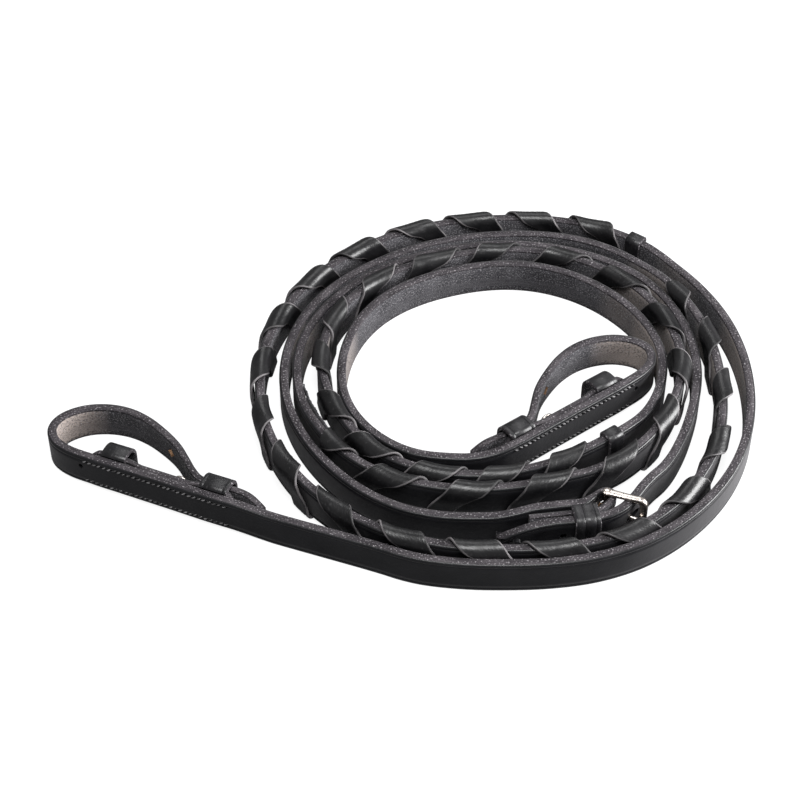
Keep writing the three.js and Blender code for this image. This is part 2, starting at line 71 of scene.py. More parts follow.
STRAP_HALF_HEIGHT = 8 * MM
STRAP_HALF_THICKNESS = 2.1 * MM
STEP = 1.6 * MM  # spacing of the sections along a strap
CLOSEST_STEP = 0.35 * MM
TURN_PER_STEP = 0.12  # in radians, where the strap bends tightly
CREASE_INSET = 1.9 * MM  # from a strap's edge to the crease pressed along it
CREASE_DEPTH = 0.25 * MM
CREASE_HALF_WIDTH = 0.28 * MM
TAIL_POINT = 12 * MM  # length of the rounded point of the tail
POINT_FULLNESS = 0.94  # 1 would bring the point down to nothing
SEAM_BEYOND_SWING = 24 * MM  # a bit end's strap carries on this far past its hinge

CUT_REACH = 4 * MM  # a cutter's reach each side of the strap's middle
BILLET_HOLE = 58 * MM  # from the billet's tip
BILLET_HOLE_RADIUS = 1.9 * MM
THREAD_HOLE_BEFORE_KEEPER = 14 * MM
THREAD_HOLE_HEIGHT = 2.2 * MM
THREAD_HOLE_RADIUS = 1.3 * MM
TAIL_HOLES_BEYOND = (32 * MM, 52 * MM)  # from the hole that the tongue is in
TAIL_HOLE_RADIUS = 1.5 * MM
TONGUE_HOLE_RADIUS = 1.9 * MM
TONGUE_HOLE_STRETCH = 2.4  # the tongue has drawn its hole out along the tail

LAY_HALF_HEIGHT = 7.4 * MM
LAY_HALF_THICKNESS = 1.35 * MM
LAY_INWARD = 3.65 * MM  # from the strap's middle to the lay's
LAY_HUMP = 1.3 * MM  # and this much more over a keeper's tucked end

KEEPER_WALL = 1.6 * MM
KEEPER_TUCK = 1.0 * MM  # between strap and lay
KEEPER_UNDER = 0.85 * MM  # pressed thin under the strap, where it lies on the table
KEEPER_GROOVE = 0.2 * MM  # depth of a crease round a keeper
FRONT_KEEPER_LENGTH = 11.5 * MM
FRONT_KEEPER_CORNER = 5.2 * MM
REAR_KEEPER_LENGTH = 13 * MM
REAR_KEEPER_CORNER = 4.4 * MM
REAR_KEEPER_CREASES = (-4.4 * MM, 4.4 * MM)  # from its middle, along the strap
CENTRE_KEEPER_LENGTH = 11 * MM
CENTRE_KEEPER_CREASES = (-3.4 * MM, 1.4 * MM)
STOP_LENGTH = 8 * MM
STOP_WALL = 1.35 * MM

STUD_BEFORE_KEEPER = 18 * MM  # from the rear keeper
STUD_FACE = 4.95 * MM  # from the strap's middle to the lay's outer face
STUD_HEAD_SHIFT = 1.0 * MM  # the head reaches towards the loop
STUD_HEAD_STRETCH = 0.35
LATHE_SIDES = 20

LACE_WIDTH = 9.8 * MM
LACE_THICKNESS = 1.15 * MM
LACE_STAND_OFF = 0.3 * MM  # from the strap's faces and its lower edge
LACE_OVER_EDGE = 0.9 * MM  # from its upper edge
LACE_BULGE = 0.9 * MM  # how far it stands off the grain side below the upper edge
LACE_SLIDE = 3.4 * MM  # how far the top crossing is slewed each way
LACE_SLEW = 0.06  # in turns, how quickly it is slewed
LACE_SWAY = 2.0 * MM
LACE_DRIFT = 1.3 * MM  # of each wrap from its even place
LACE_PROUD = 0.75 * MM  # how far its trailing side stands up at a crossing
LACE_CREST_SHIFT = 2.6 * MM
LACE_CREST_REACH = 4.6 * MM
LACE_PITCH = 29.35 * MM  # at the first crossing; each turn adds twice the spread to it
LACE_SPREAD = 0.14 * MM
LACE_TO_STOP = 23.5 * MM  # from the stop to the first crossing
LACE_FROM = -0.36  # in turns from the first crossing of the top edge
LACE_TO = 19.05
LACE_STEP = 0.55 * MM

STITCH_PITCH = 2.4 * MM
STITCH_LENGTH = 2.0 * MM
STITCH_RADIUS = 0.38 * MM
STITCH_INSET = 2.3 * MM
STITCH_SLANT = 0.55 * MM  # a stitch's ends lie this far below and above its row
STITCH_SIDES = 8
# Radius of the painted shade disc over each stitch's hole.
HOLE_SHADE_RADIUS = 0.42 * MM
GRAIN_FACE = 2.14 * MM  # from the strap's middle to the thread on its grain side

BUCKLE_LENGTH = 16.3 * MM
BUCKLE_INSIDE = 8.15 * MM  # from the strap's middle to the inner side of a side bar
BUCKLE_CORNER = 2.6 * MM
BAR_HEIGHT = 2.0 * MM
BAR_DEPTH = 3.1 * MM
BAR_SIDES = 14
FRONT_BAR = 3.4 * MM
HEEL_RADIUS = 1.3 * MM
SLOT_LENGTH = 11.6 * MM
SLOT_HEIGHT = 5.2 * MM

# Where the coil's flesh side is paler, as (plan point, radius, strength).
COIL_WARM_SPOTS = [
    ((149 * MM, 12 * MM), 28 * MM, 0.6),
    ((115 * MM, 58 * MM), 24 * MM, 0.4),
    ((-25 * MM, 14 * MM), 18 * MM, 0.35),
    ((-44 * MM, 24 * MM), 14 * MM, 0.4),
]

# ---- Camera and light ----

CAMERA_DISTANCE = 0.9
CAMERA_ELEVATION = math.radians(45)
CAMERA_AIM = Vector((-0.0022, -0.0159, 0.016))
CAMERA_LENS = 91.1

WORLD_STRENGTH = 0.3
FLOOR_COLOUR = (0.17, 0.17, 0.175, 1)
FLOOR_GLOW = 0.9  # only the camera sees it: it bleaches the paper but lights nothing
# Name, azimuth (0 in front, 90 on the right), elevation, distance, side and watts.
SOFTBOXES = [
    ("key", 8, 72, 1.1, 0.45, 12.0),
    ("back", 172, 50, 1.2, 0.45, 2.5),
    ("right", 88, 20, 0.75, 0.40, 13.0),
]


# ---- Curves read from the frame ----


def merged_mesh(node):
    """A bmesh of a CAD node with its split vertices joined again."""
    mesh = bmesh.new()
    mesh.from_mesh(frame["nodes"][node].data)
    bmesh.ops.remove_doubles(mesh, verts=mesh.verts, dist=2e-6)
    mesh.normal_update()
    return mesh


def level_outline(mesh, facing):
    """The outline of the faces that face up (1) or down (-1), as one ordered loop of points."""
    chosen = {f for f in mesh.faces if f.normal.z * facing > 0.5}
    border = [e for e in mesh.edges if sum(f in chosen for f in e.link_faces) == 1]
    beside = {}
    for edge in border:
        a, b = edge.verts
        beside.setdefault(a, []).append(b)
        beside.setdefault(b, []).append(a)
    loops = []
    seen = set()
    for start in beside:
        if start in seen:
            continue
        loop = [start]
        seen.add(start)
        while True:
            following = [v for v in beside[loop[-1]] if v not in seen]
            if not following:
                break
            loop.append(following[0])
            seen.add(following[0])
        loops.append(loop)
    longest = max(loops, key=len)
    return np.array([v.co for v in longest])


def two_sides(outline):
    """Splits a strap's outline at its square ends into its two long sides, both running one way."""
    plan = outline[:, :2]
    into = plan - np.roll(plan, 1, axis=0)
    out = np.roll(plan, -1, axis=0) - plan
    cosine = (into * out).sum(1) / (np.linalg.norm(into, axis=1) * np.linalg.norm(out, axis=1))
    corners = sorted(np.argsort(cosine)[:4])
    rolled = np.roll(outline, -corners[0], axis=0)
    marks = [c - corners[0] for c in corners] + [len(outline)]
    runs = [rolled[marks[i] : marks[i + 1] + 1] for i in range(4)]
    runs[3] = np.vstack([rolled[marks[3] :], rolled[:1]])
    lengths = [np.linalg.norm(np.diff(run[:, :2], axis=0), axis=1).sum() for run in runs]
    first = runs[0:4:2] if lengths[0] > lengths[1] else runs[1:4:2]
    return first[0], first[1][::-1]


def plan_lengths(line):
    """Distance along a polyline, in plan, at each of its points."""
    steps = np.linalg.norm(np.diff(line[:, :2], axis=0), axis=1)
    return np.concatenate([[0], np.cumsum(steps)])


def nearest_on(line, point, share):
    """The point of a plan polyline nearest to a plan point, near a share of its length."""
    lengths = plan_lengths(line)
    near = np.abs(lengths[:-1] - share * lengths[-1]) < 40 * MM
    start, end = line[:-1][near], line[1:][near]
    along = (end - start)[:, :2]
    t = ((point - start[:, :2]) * along).sum(1) / np.maximum((along**2).sum(1), 1e-18)
    t = np.clip(t, 0, 1)[:, None]
    found = start + (end - start) * t
    best = np.argmin(((found[:, :2] - point) ** 2).sum(1))
    return found[best]


def strap_rows(node):
    """Rows of (x, y, low, high, thickness) along a strap solid's middle, from one end to the other."""
    mesh = merged_mesh(node)
    side, other = two_sides(level_outline(mesh, 1))
    low_side, low_other = two_sides(level_outline(mesh, -1))
    starts = [np.linalg.norm(line[0, :2] - side[0, :2]) for line in (low_side, low_other)]
    ends = [np.linalg.norm(line[-1, :2] - side[0, :2]) for line in (low_side, low_other)]
    if min(ends) < min(starts):
        low_side, low_other = low_side[::-1], low_other[::-1]
        starts = ends
    below = (low_side, low_other)[int(np.argmin(starts))]
    lengths = plan_lengths(side)
    rows = []
    for point, length in zip(side, lengths):
        share = length / lengths[-1]
        across = nearest_on(other, point[:2], share)
        middle = (point + across) / 2
        low = nearest_on(below, point[:2], share)[2]
        rows.append([middle[0], middle[1], low, point[2], np.linalg.norm((point - across)[:2])])
    mesh.free()
    return np.array(rows)


def smooth_sample(knots, values, at):
    """Cubic interpolation of rows of values at knots."""
    slopes = np.gradient(values, knots, axis=0)
    i = np.clip(np.searchsorted(knots, at, side="right") - 1, 0, len(knots) - 2)
    gap = (knots[i + 1] - knots[i])[:, None]
    t = ((at - knots[i]) / gap[:, 0])[:, None]
    a, b = values[i], values[i + 1]
    rise = b - a
    start, end = slopes[i] * gap, slopes[i + 1] * gap
    return a + t * (start + t * (3 * rise - 2 * start - end + t * (start + end - 2 * rise)))


class Rein:
    """One rein's line from its billet's tip to its buckle end, by distance along it."""

    def __init__(self, side):
        self.side = side
        bit_end = strap_rows(f"{side}_bit_end_strap")
        coil = strap_rows(f"{side}_rein_strap")
        ends = [(i, j) for i in (0, -1) for j in (0, -1)]
        apart = [np.linalg.norm(bit_end[i, :2] - coil[j, :2]) for i, j in ends]
        bit_last, coil_first = ends[int(np.argmin(apart))]
        if bit_last == 0:
            bit_end = bit_end[::-1]
        if coil_first == -1:
            coil = coil[::-1]
        rows = np.vstack([bit_end, coil])
        knots = plan_lengths(rows)
        fine = np.arange(0, knots[-1], 0.4 * MM)
        self.rows = smooth_sample(knots, rows, fine)
        self.s = plan_lengths(self.rows)
        self.length = self.s[-1]
        self.swing = np.interp((knots[len(bit_end) - 1] + knots[len(bit_end)]) / 2, fine, self.s)
        along = np.gradient(self.rows[:, :2], self.s, axis=0)
        self.along = along / np.linalg.norm(along, axis=1)[:, None]
        self.outward = np.stack([self.along[:, 1], -self.along[:, 0]], axis=1)
        # The grain side faces away from the middle of the coil.
        middle = sum(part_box(f"{side}_lace"), Vector()) / 2
        half_way = len(self.s) // 2
        away = self.rows[half_way, :2] - np.array(middle[:2])
        if self.outward[half_way] @ away < 0:
            self.outward = -self.outward

    def at(self, s):
        """(middle of the section, along, outward, half height, half thickness) at distance s."""
        x, y, low, high, thickness = (np.interp(s, self.s, column) for column in self.rows.T)
        along = np.array([np.interp(s, self.s, column) for column in self.along.T] + [0])
        outward = np.array([np.interp(s, self.s, column) for column in self.outward.T] + [0])
        middle = np.array([x, y, (low + high) / 2])
        return middle, along, outward, (high - low) / 2, thickness / 2

    def point(self, s, out, up):
        """A point beside the middle of the section at s."""
        middle, _, outward, _, _ = self.at(s)
        return middle + outward * out + UP * up

    def nearest(self, point, start, end):
        """Distance along the rein of the place nearest to a point, between start and end."""
        inside = (self.s >= start) & (self.s <= end)
        gaps = np.linalg.norm(self.rows[:, :2] - np.array(point[:2]), axis=1)
        return self.s[np.argmin(np.where(inside, gaps, 1e9))]

    def reach(self, node, start, end):
        """The stretch of the rein, searched between start and end, that a CAD node lies along."""
        corners = frame["nodes"][node].data.vertices
        found = [self.nearest(v.co, start, end) for v in corners]
        return min(found), max(found)

    def centre(self, node, start, end):
        """Distance along the rein of a CAD node's middle."""
        low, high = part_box(node)
        return self.nearest((low + high) / 2, start, end)


# ---- Meshes ----


def make_object(name, points, faces, materials, face_materials, coords=None):
    """A mesh object, smooth but for its sharp corners, with its unrolled place on each vertex."""
    mesh = bpy.data.meshes.new(name)
    mesh.from_pydata([tuple(p) for p in points], [], faces)
    for material in materials:
        mesh.materials.append(material)
    mesh.polygons.foreach_set("material_index", face_materials)
    if coords is not None:
        attribute = mesh.attributes.new("unrolled", "FLOAT_VECTOR", "POINT")
        attribute.data.foreach_set("vector", np.array(coords, np.float32).ravel())
    mesh.shade_smooth()
    mesh.set_sharp_from_angle(angle=SHARP_ANGLE)
    mesh.validate()
    mesh.update()
    made = bpy.data.objects.new(name, mesh)
    bpy.context.scene.collection.objects.link(made)
    return made


def facing_out(points, faces):
    """The faces, turned over if they enclose the points inside out."""
    points = np.asarray(points)
    volume = 0.0
    for face in faces:
        a = points[face[0]]
        for k in range(1, len(face) - 1):
            volume += a @ np.cross(points[face[k]], points[face[k + 1]])
    return [tuple(reversed(f)) for f in faces] if volume < 0 else faces


def ring_faces(rows, size, round_trip, side_materials, cap_material=0):
    """Faces between rows of points, each a closed ring, and the material of each face."""
    faces, look = [], []
    last = rows if round_trip else rows - 1
    for i in range(last):
        a = i * size
        b = ((i + 1) % rows) * size
        for k in range(size):
            n = (k + 1) % size
            faces.append((a + k, a + n, b + n, b + k))
            look.append(side_materials[k])
    if not round_trip:
        faces.append(tuple(reversed(range(size))))
        faces.append(tuple(range((rows - 1) * size, rows * size)))
        look += [cap_material, cap_material]
    return faces, look


def loft(name, rings, materials, side_materials, coords, round_trip=False, cap_material=0):
    """An object through rings of points."""
    rings = np.asarray(rings)
    points = rings.reshape(-1, 3)
    faces, look = ring_faces(len(rings), rings.shape[1], round_trip, side_materials, cap_material)
    faces = facing_out(points, faces)
    return make_object(name, points, faces, materials, look, np.asarray(coords).reshape(-1, 3))


def join_parts(name, parts, materials):
    """One object from a list of (points, faces, face materials, coords)."""
    points, faces, look, coords = [], [], [], []
    for part_points, part_faces, part_look, part_coords in parts:
        start = len(points)
        part_faces = facing_out(part_points, part_faces)
        points.extend(part_points)
        faces.extend(tuple(start + k for k in face) for face in part_faces)
        look.extend(part_look)
        coords.extend(part_coords)
    return make_object(name, points, faces, materials, look, coords)


def apply_modifiers(piece):
    """Replaces a piece's mesh with the one its modifiers make."""
    graph = bpy.context.evaluated_depsgraph_get()
    made = bpy.data.meshes.new_from_object(piece.evaluated_get(graph))
    piece.modifiers.clear()
    piece.data = made
    made.shade_smooth()
    made.set_sharp_from_angle(angle=SHARP_ANGLE)


def carve(piece, cutters):
    """Cuts closed meshes out of a piece. The cut faces keep the cutter's material index. A cut
    clears the unrolled place of every vertex, so each takes it back from the nearest old one."""
    before = piece.data
    count = len(before.vertices)
    old = np.zeros(count * 3, np.float32)
    before.attributes["unrolled"].data.foreach_get("vector", old)
    old = old.reshape(-1, 3)
    tree = kdtree.KDTree(count)
    for vertex in before.vertices:
        tree.insert(vertex.co, vertex.index)
    tree.balance()
    for cutter in cutters:
        cut = piece.modifiers.new("cut", "BOOLEAN")
        cut.operation = "DIFFERENCE"
        cut.solver = "EXACT"
        cut.object = cutter
    bpy.context.view_layer.update()
    apply_modifiers(piece)
    for cutter in cutters:
        bpy.data.objects.remove(cutter)
    mesh = piece.data
    if "unrolled" in mesh.attributes:
        mesh.attributes.remove(mesh.attributes["unrolled"])
    unrolled = mesh.attributes.new("unrolled", "FLOAT_VECTOR", "POINT")
    nearest = [tree.find(vertex.co)[1] for vertex in mesh.vertices]
    unrolled.data.foreach_set("vector", old[nearest].ravel())


def circle(count):
    """(cosine, sine) at even steps all the way round."""
    angles = [2 * math.pi * k / count for k in range(count)]
    return [(math.cos(angle), math.sin(angle)) for angle in angles]


def squared(value, power):
    """A cosine or sine made squarer by a power below 1."""
    return math.copysign(abs(value) ** power, value)


def strap_cutter(outline, origin, axes, reach, look):
    """A cutter: an outline in the first two axes, pushed both ways along the third. It has as
    many material slots as a strap, so that the faces it leaves there get their look."""
    x, y, z = axes
    size = len(outline)
    rings = [[origin + x * a + y * b + z * d for a, b in outline] for d in (-reach, reach)]
    faces, looks = ring_faces(2, size, False, [look] * size, look)
    points = np.array(rings).reshape(-1, 3)
    cutter = make_object("cutter", points, facing_out(points, faces), [], [0] * len(faces))
    for _ in STRAP_LOOK:
        cutter.data.materials.append(None)
    cutter.data.polygons.foreach_set("material_index", looks)
    return cutter


def place_on(piece, body, node):
    """Fixes a piece to a body, where it takes the place of a CAD node."""
    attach(piece, body)
    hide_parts(node)


def smooth_noise(value, seed):
    """A smooth random value between about -1 and 1."""
    return noise.noise(Vector((value, seed * 7.31, seed * 3.17))) * 1.8


def smoothstep(value, start, end):
    """0 before start, 1 after end and an even curve between them."""
    t = min(max((value - start) / (end - start), 0.0), 1.0)
    return t * t * (3 - 2 * t)


# ---- Materials ----


class Shader:
    """Builds one node material. Patterns are laid out in millimetres."""

    def __init__(self, name, unrolled=True):
        self.material = bpy.data.materials.new(name)
        self.material.use_nodes = True
        self.tree = self.material.node_tree
        self.surface = self.tree.nodes["Principled BSDF"]
        if unrolled:
            place = self.node("Attribute", attribute_name="unrolled").outputs["Vector"]
        else:
            place = self.node("TexCoord").outputs["Object"]
        self.place = self.node("VectorMath", {0: place, 3: 1 / MM}, operation="SCALE").outputs[0]

    def feed(self, socket, value):
        """Links a node's output to a socket, or sets the socket's own value."""
        if isinstance(value, bpy.types.NodeSocket):
            self.tree.links.new(value, socket)
        else:
            socket.default_value = value

    def node(self, kind, inputs=None, **settings):
        made = self.tree.nodes.new("ShaderNode" + kind)
        for key, value in settings.items():
            setattr(made, key, value)
        for key, value in (inputs or {}).items():
            self.feed(made.inputs[key], value)
        return made

    def noise(self, scale, detail=2.0, stretch=EVEN):
        """Noise with `scale` features per millimetre."""
        place = self.node("VectorMath", {0: self.place, 1: stretch}, operation="MULTIPLY").outputs[0]
        made = self.node("TexNoise", {"Vector": place, "Scale": scale, "Detail": detail})
        return made.outputs["Fac"]

    def cells(self, scale):
        """Distance from the middle of each of a pattern of cells, `scale` of them per millimetre."""
        return self.node("TexVoronoi", {"Vector": self.place, "Scale": scale}).outputs["Distance"]

    def remap(self, value, low, high, to_low=0.0, to_high=1.0):
        inputs = {"Value": value, "From Min": low, "From Max": high, "To Min": to_low, "To Max": to_high}
        return self.node("MapRange", inputs, clamp=True).outputs["Result"]

    def math(self, operation, a, b=0.0):
        return self.node("Math", {0: a, 1: b}, operation=operation).outputs[0]

    def mix(self, factor, a, b):
        """Colour mix. Plain colours are given as three numbers."""
        made = self.node("Mix", {0: factor}, data_type="RGBA")
        for index, colour in ((6, a), (7, b)):
            full = colour if isinstance(colour, bpy.types.NodeSocket) else (*colour, 1.0)
            self.feed(made.inputs[index], full)
        return made.outputs[2]

    def mottled(self, dark, light, scale, detail, stretch=EVEN, low=0.35):
        """A colour that drifts between two."""
        return self.mix(self.remap(self.noise(scale, detail, stretch), low, 0.65), dark, light)

    def flecked(self, under, colour, amount, scale, detail, low, high, stretch=EVEN):
        """Flecks of a colour over another, full where the noise is above high."""
        flecks = self.remap(self.noise(scale, detail, stretch), low, high)
        return self.mix(self.math("MULTIPLY", flecks, amount), under, colour)

    def drifting(self, scale, detail, low, high):
        """A value that drifts between low and high."""
        return self.remap(self.noise(scale, detail), 0.3, 0.7, low, high)

    def bump(self, height, depth, before=None):
        """Bump `depth` millimetres deep over a height of 0 to 1."""
        inputs = {"Height": height, "Distance": depth * MM, "Strength": 1.0}
        if before is not None:
            inputs["Normal"] = before
        return self.node("Bump", inputs).outputs["Normal"]

    def finish(self, **values):
        names = {
            "colour": "Base Color",
            "roughness": "Roughness",
            "normal": "Normal",
            "metallic": "Metallic",
            "specular": "Specular IOR Level",
            "sheen": "Sheen Weight",
            "glow": "Emission Color",
            "glow_strength": "Emission Strength",
        }
        for key, value in values.items():
            self.feed(self.surface.inputs[names[key]], value)
        return self.material


def grain_leather():
    """Smooth black bridle leather: fine pores, soft gloss and a little dust, with a painted sheen:
    grey painted into the colour where the surface is seen edge on."""
    shader = Shader("grain_leather")
    base = shader.mottled((0.005, 0.005, 0.006), (0.010, 0.010, 0.0115), 0.06, 4)
    dusty = shader.flecked(base, (0.08, 0.077, 0.08), 0.2, 1.3, 4, 0.66, 0.76)
    facing = shader.node("LayerWeight", {"Blend": 0.5}).outputs["Facing"]
    # Painted sheen: grey mixed into the colour where the surface is seen edge on, standing in for a
    # reflection.
    painted_sheen = shader.remap(facing, 0.40, 0.95, 0.0, 0.55)
    colour = shader.mix(painted_sheen, dusty, (0.20, 0.195, 0.20))
    pores = shader.bump(shader.cells(1.9), 0.03)
    skin = shader.bump(shader.noise(0.35, 4), 0.12, pores)
    roughness = shader.drifting(0.2, 3, 0.30, 0.42)
    return shader.finish(colour=colour, roughness=roughness, normal=skin, specular=0.33)


def cut_edge():
    """A strap's cut edge: dusty, grey and fibrous, with pale flecks."""
    shader = Shader("cut_edge")
    base = shader.mottled((0.018, 0.016, 0.018), (0.062, 0.056, 0.061), 0.22, 4, (0.4, 1, 1))
    layered = shader.flecked(base, (0.024, 0.021, 0.025), 0.65, 0.9, 3, 0.40, 0.62, (0.06, 1.3, 1))
    colour = shader.flecked(layered, (0.34, 0.32, 0.335), 0.55, 1.25, 3, 0.58, 0.66)
    rough = shader.bump(shader.noise(1.1, 4), 0.3)
    return shader.finish(colour=colour, roughness=0.75, normal=rough, specular=0.15, sheen=0.03)


def flesh_side():
    """The suede flesh side: grey, finely speckled, and tanned where the strap is bent hard."""
    shader = Shader("flesh_side")
    base = shader.mottled((0.022, 0.021, 0.0245), (0.062, 0.060, 0.066), 0.12, 4)
    warm = shader.node("Attribute", attribute_name="warmth").outputs["Fac"]
    tanned = shader.mix(warm, base, (0.46, 0.39, 0.35))
    spotted = shader.flecked(tanned, (0.028, 0.027, 0.032), 0.6, 0.95, 3, 0.49, 0.60)
    colour = shader.flecked(spotted, (0.32, 0.31, 0.325), 0.5, 1.25, 3, 0.54, 0.62, (1, 1.3, 1))
    nap = shader.bump(shader.noise(1.1, 4), 0.25)
    return shader.finish(colour=colour, roughness=0.85, normal=nap, specular=0.12, sheen=0.08)


def lace_leather():
    """Glossy black lace with fine pores."""
    shader = Shader("lace_leather")
    base = shader.mottled((0.003, 0.003, 0.0035), (0.009, 0.0087, 0.0095), 0.15, 3)
    colour = shader.flecked(base, (0.08, 0.077, 0.08), 0.25, 1.6, 3, 0.62, 0.72)
    pores = shader.bump(shader.cells(1.5), 0.05)
    skin = shader.bump(shader.noise(0.3, 4, (1, 0.4, 1)), 0.14, pores)
    roughness = shader.drifting(0.4, 3, 0.30, 0.42)
    return shader.finish(colour=colour, roughness=roughness, normal=skin, specular=0.4)


def lace_edge():
    """The lace's cut edge, lighter than its face."""
    shader = Shader("lace_edge")
    colour = shader.mottled((0.018, 0.017, 0.018), (0.15, 0.14, 0.145), 0.25, 3, (1, 0.5, 1), 0.4)
    rough = shader.bump(shader.noise(1.3, 3), 0.2)
    return shader.finish(colour=colour, roughness=0.6, normal=rough, specular=0.35)


def keeper_leather():
    """The keepers' firm, polished leather."""
    shader = Shader("keeper_leather")
    base = shader.mottled((0.004, 0.004, 0.005), (0.014, 0.0135, 0.015), 0.2, 3)
    colour = shader.flecked(base, (0.14, 0.135, 0.14), 0.35, 1.5, 3, 0.62, 0.72)
    pores = shader.bump(shader.cells(1.7), 0.05)
    worn = shader.bump(shader.noise(0.3, 3), 0.05, pores)
    roughness = shader.drifting(0.5, 2, 0.34, 0.46)
    return shader.finish(colour=colour, roughness=roughness, normal=worn, specular=0.45)


def raw_leather():
    """Undyed leather inside a torn hole and the chape's slot."""
    shader = Shader("raw_leather", unrolled=False)
    fibres = shader.noise(1.2, 4)
    colour = shader.mix(fibres, (0.10, 0.055, 0.03), (0.36, 0.20, 0.10))
    return shader.finish(colour=colour, roughness=0.85, normal=shader.bump(fibres, 0.3))


def waxed_thread():
    """Black waxed thread with a fine twist."""
    shader = Shader("waxed_thread")
    colour = shader.mottled((0.03, 0.029, 0.03), (0.20, 0.195, 0.20), 0.5, 2)
    twist = shader.bump(shader.noise(3.0, 1, (2, 1, 1)), 0.1)
    return shader.finish(colour=colour, roughness=0.7, normal=twist, specular=0.25)


def painted_hole_shade():
    """Painted shade: a near-black colour for the shadow down the hole that each stitch goes into."""
    shader = Shader("painted_hole_shade", unrolled=False)
    shade = shader.mix(shader.noise(1.2, 2), (0.001, 0.001, 0.001), (0.006, 0.006, 0.006))
    return shader.finish(colour=shade, roughness=0.9, specular=0.05)


def polished_nickel():
    """Nickel silver with a warm tint and soft wear."""
    shader = Shader("polished_nickel", unrolled=False)
    tint = shader.mix(shader.noise(0.3, 2), (0.66, 0.61, 0.57), (0.54, 0.49, 0.45))
    roughness = shader.drifting(0.5, 2, 0.26, 0.34)
    wear = shader.bump(shader.noise(0.15, 1), 0.03)
    return shader.finish(colour=tint, roughness=roughness, metallic=1.0, normal=wear)


GRAIN, EDGE, FLESH, RAW = range(4)
STRAP_LOOK = [grain_leather(), cut_edge(), flesh_side(), raw_leather()]
LACE_LOOK = [lace_leather(), lace_edge(), STRAP_LOOK[FLESH]]
KEEPER_LOOK = [keeper_leather(), STRAP_LOOK[EDGE], STRAP_LOOK[FLESH]]
# The thread's second look is the painted shade in its holes.
THREAD_LOOK = [waxed_thread(), painted_hole_shade()]
METAL_LOOK = [polished_nickel()]


# ---- Straps ----


def strap_section(half_height, half_thickness):
    """A strap's section as (outward, up, look of the side that follows). Grain faces outward."""
    h, a = half_height, half_thickness
    crease = h - CREASE_INSET
    upper = [
        (-a, 0, FLESH),
        (-a, h - 3.2 * MM, FLESH),
        (-a, h - 1.25 * MM, FLESH),
        (-a + 0.14 * MM, h - 1.0 * MM, EDGE),
        (-a + 0.02 * MM, h - 0.78 * MM, EDGE),
        (-a + 0.12 * MM, h - 0.22 * MM, EDGE),
        (-a + 0.5 * MM, h, EDGE),
        (0, h + 0.05 * MM, EDGE),
        (a - 0.8 * MM, h - 0.02 * MM, GRAIN),
        (a - 0.26 * MM, h - 0.22 * MM, GRAIN),
        (a - 0.04 * MM, h - 0.7 * MM, GRAIN),
        (a + 0.03 * MM, h - 1.2 * MM, GRAIN),
        (a, crease + CREASE_HALF_WIDTH, GRAIN),
        (a - CREASE_DEPTH, crease, GRAIN),
        (a, crease - CREASE_HALF_WIDTH, GRAIN),
        (a, h - 3.6 * MM, GRAIN),
    ]
    lower = [(out, -up) for out, up, _ in reversed(upper[1:])]
    looks = [look for _, _, look in upper]
    points = [(out, up) for out, up, _ in upper] + [(a, 0)] + lower
    return points, looks + [GRAIN] + list(reversed(looks[:-1]))


def bend_stations(rein, start, end, step=STEP):
    """Places along a rein, closer together where it bends tightly."""
    turning = np.linalg.norm(np.gradient(rein.along, rein.s, axis=0), axis=1)
    stations = [start]
    while stations[-1] < end - step * 0.4:
        curvature = max(np.interp(stations[-1], rein.s, turning), 1e-6)
        ahead = min(step, max(TURN_PER_STEP / curvature, CLOSEST_STEP))
        stations.append(min(stations[-1] + ahead, end))
    stations[-1] = end
    return stations


def strap_rings(rein, stations, place, side=1):
    """Rings of a strap along a rein. place(s) gives its offset, half height and half thickness,
    and a side of -1 turns its grain side inward."""
    rings, coords = [], []
    for s in stations:
        middle, _, outward, _, _ = rein.at(s)
        offset, half_height, half_thickness = place(s)
        section, _ = strap_section(half_height, half_thickness)
        ring = [middle + outward * (offset + side * out) + UP * up for out, up in section]
        rings.append(ring)
        around = np.cumsum([0] + [math.dist(a, b) for a, b in zip(section, section[1:])])
        coords.append([(s, way + rein.seed, 0) for way in around])
    return rings, coords


def strap_look():
    """The look of each side of a strap's section, which doesn't depend on its size."""
    return strap_section(STRAP_HALF_HEIGHT, STRAP_HALF_THICKNESS)[1]


def add_warmth(piece, warm_spots):
    """Marks where the flesh side is tanned: each spot is (plan point, radius, strength)."""
    count = len(piece.data.vertices)
    co = np.zeros(count * 3, np.float32)
    piece.data.vertices.foreach_get("co", co)
    plan = co.reshape(-1, 3)[:, :2]
    warmth = np.zeros(count)
    for point, radius, strength in warm_spots:
        gap = np.linalg.norm(plan - np.array(point[:2]), axis=1) / radius
        warmth = np.maximum(warmth, strength * np.clip(1 - gap**2, 0, 1))
    attribute = piece.data.attributes.new("warmth", "FLOAT", "POINT")
    attribute.data.foreach_set("value", warmth.astype(np.float32))


def own_size(rein, point_length=0.0):
    """The strap's own size at s, as its CAD solid has it; a tail is rounded off to its point."""

    def place(s):
        _, _, _, half_height, half_thickness = rein.at(s)
        if point_length:
            t = min(max(1 - (rein.length - s) / point_length, 0), 1)
            half_height *= math.sqrt(1 - POINT_FULLNESS * t * t)
        return 0.0, half_height, half_thickness

    return place


def strap(name, rein, start, end, point_length=0.0):
    """A stretch of a rein's strap, square-cut or with a rounded point at its far end."""
    stations = bend_stations(rein, start, end)
    rings, coords = strap_rings(rein, stations, own_size(rein, point_length))
    return loft(name, rings, STRAP_LOOK, strap_look(), coords, cap_material=EDGE)


def hole_cutter(rein, s, up, radius, stretch=1.0):
    """A punched hole across a strap, black inside."""
    middle, along, outward, _, _ = rein.at(s)
    outline = [(stretch * radius * x, radius * y) for x, y in circle(14)]
    return strap_cutter(outline, middle + UP * up, (along, UP, outward), CUT_REACH, GRAIN)


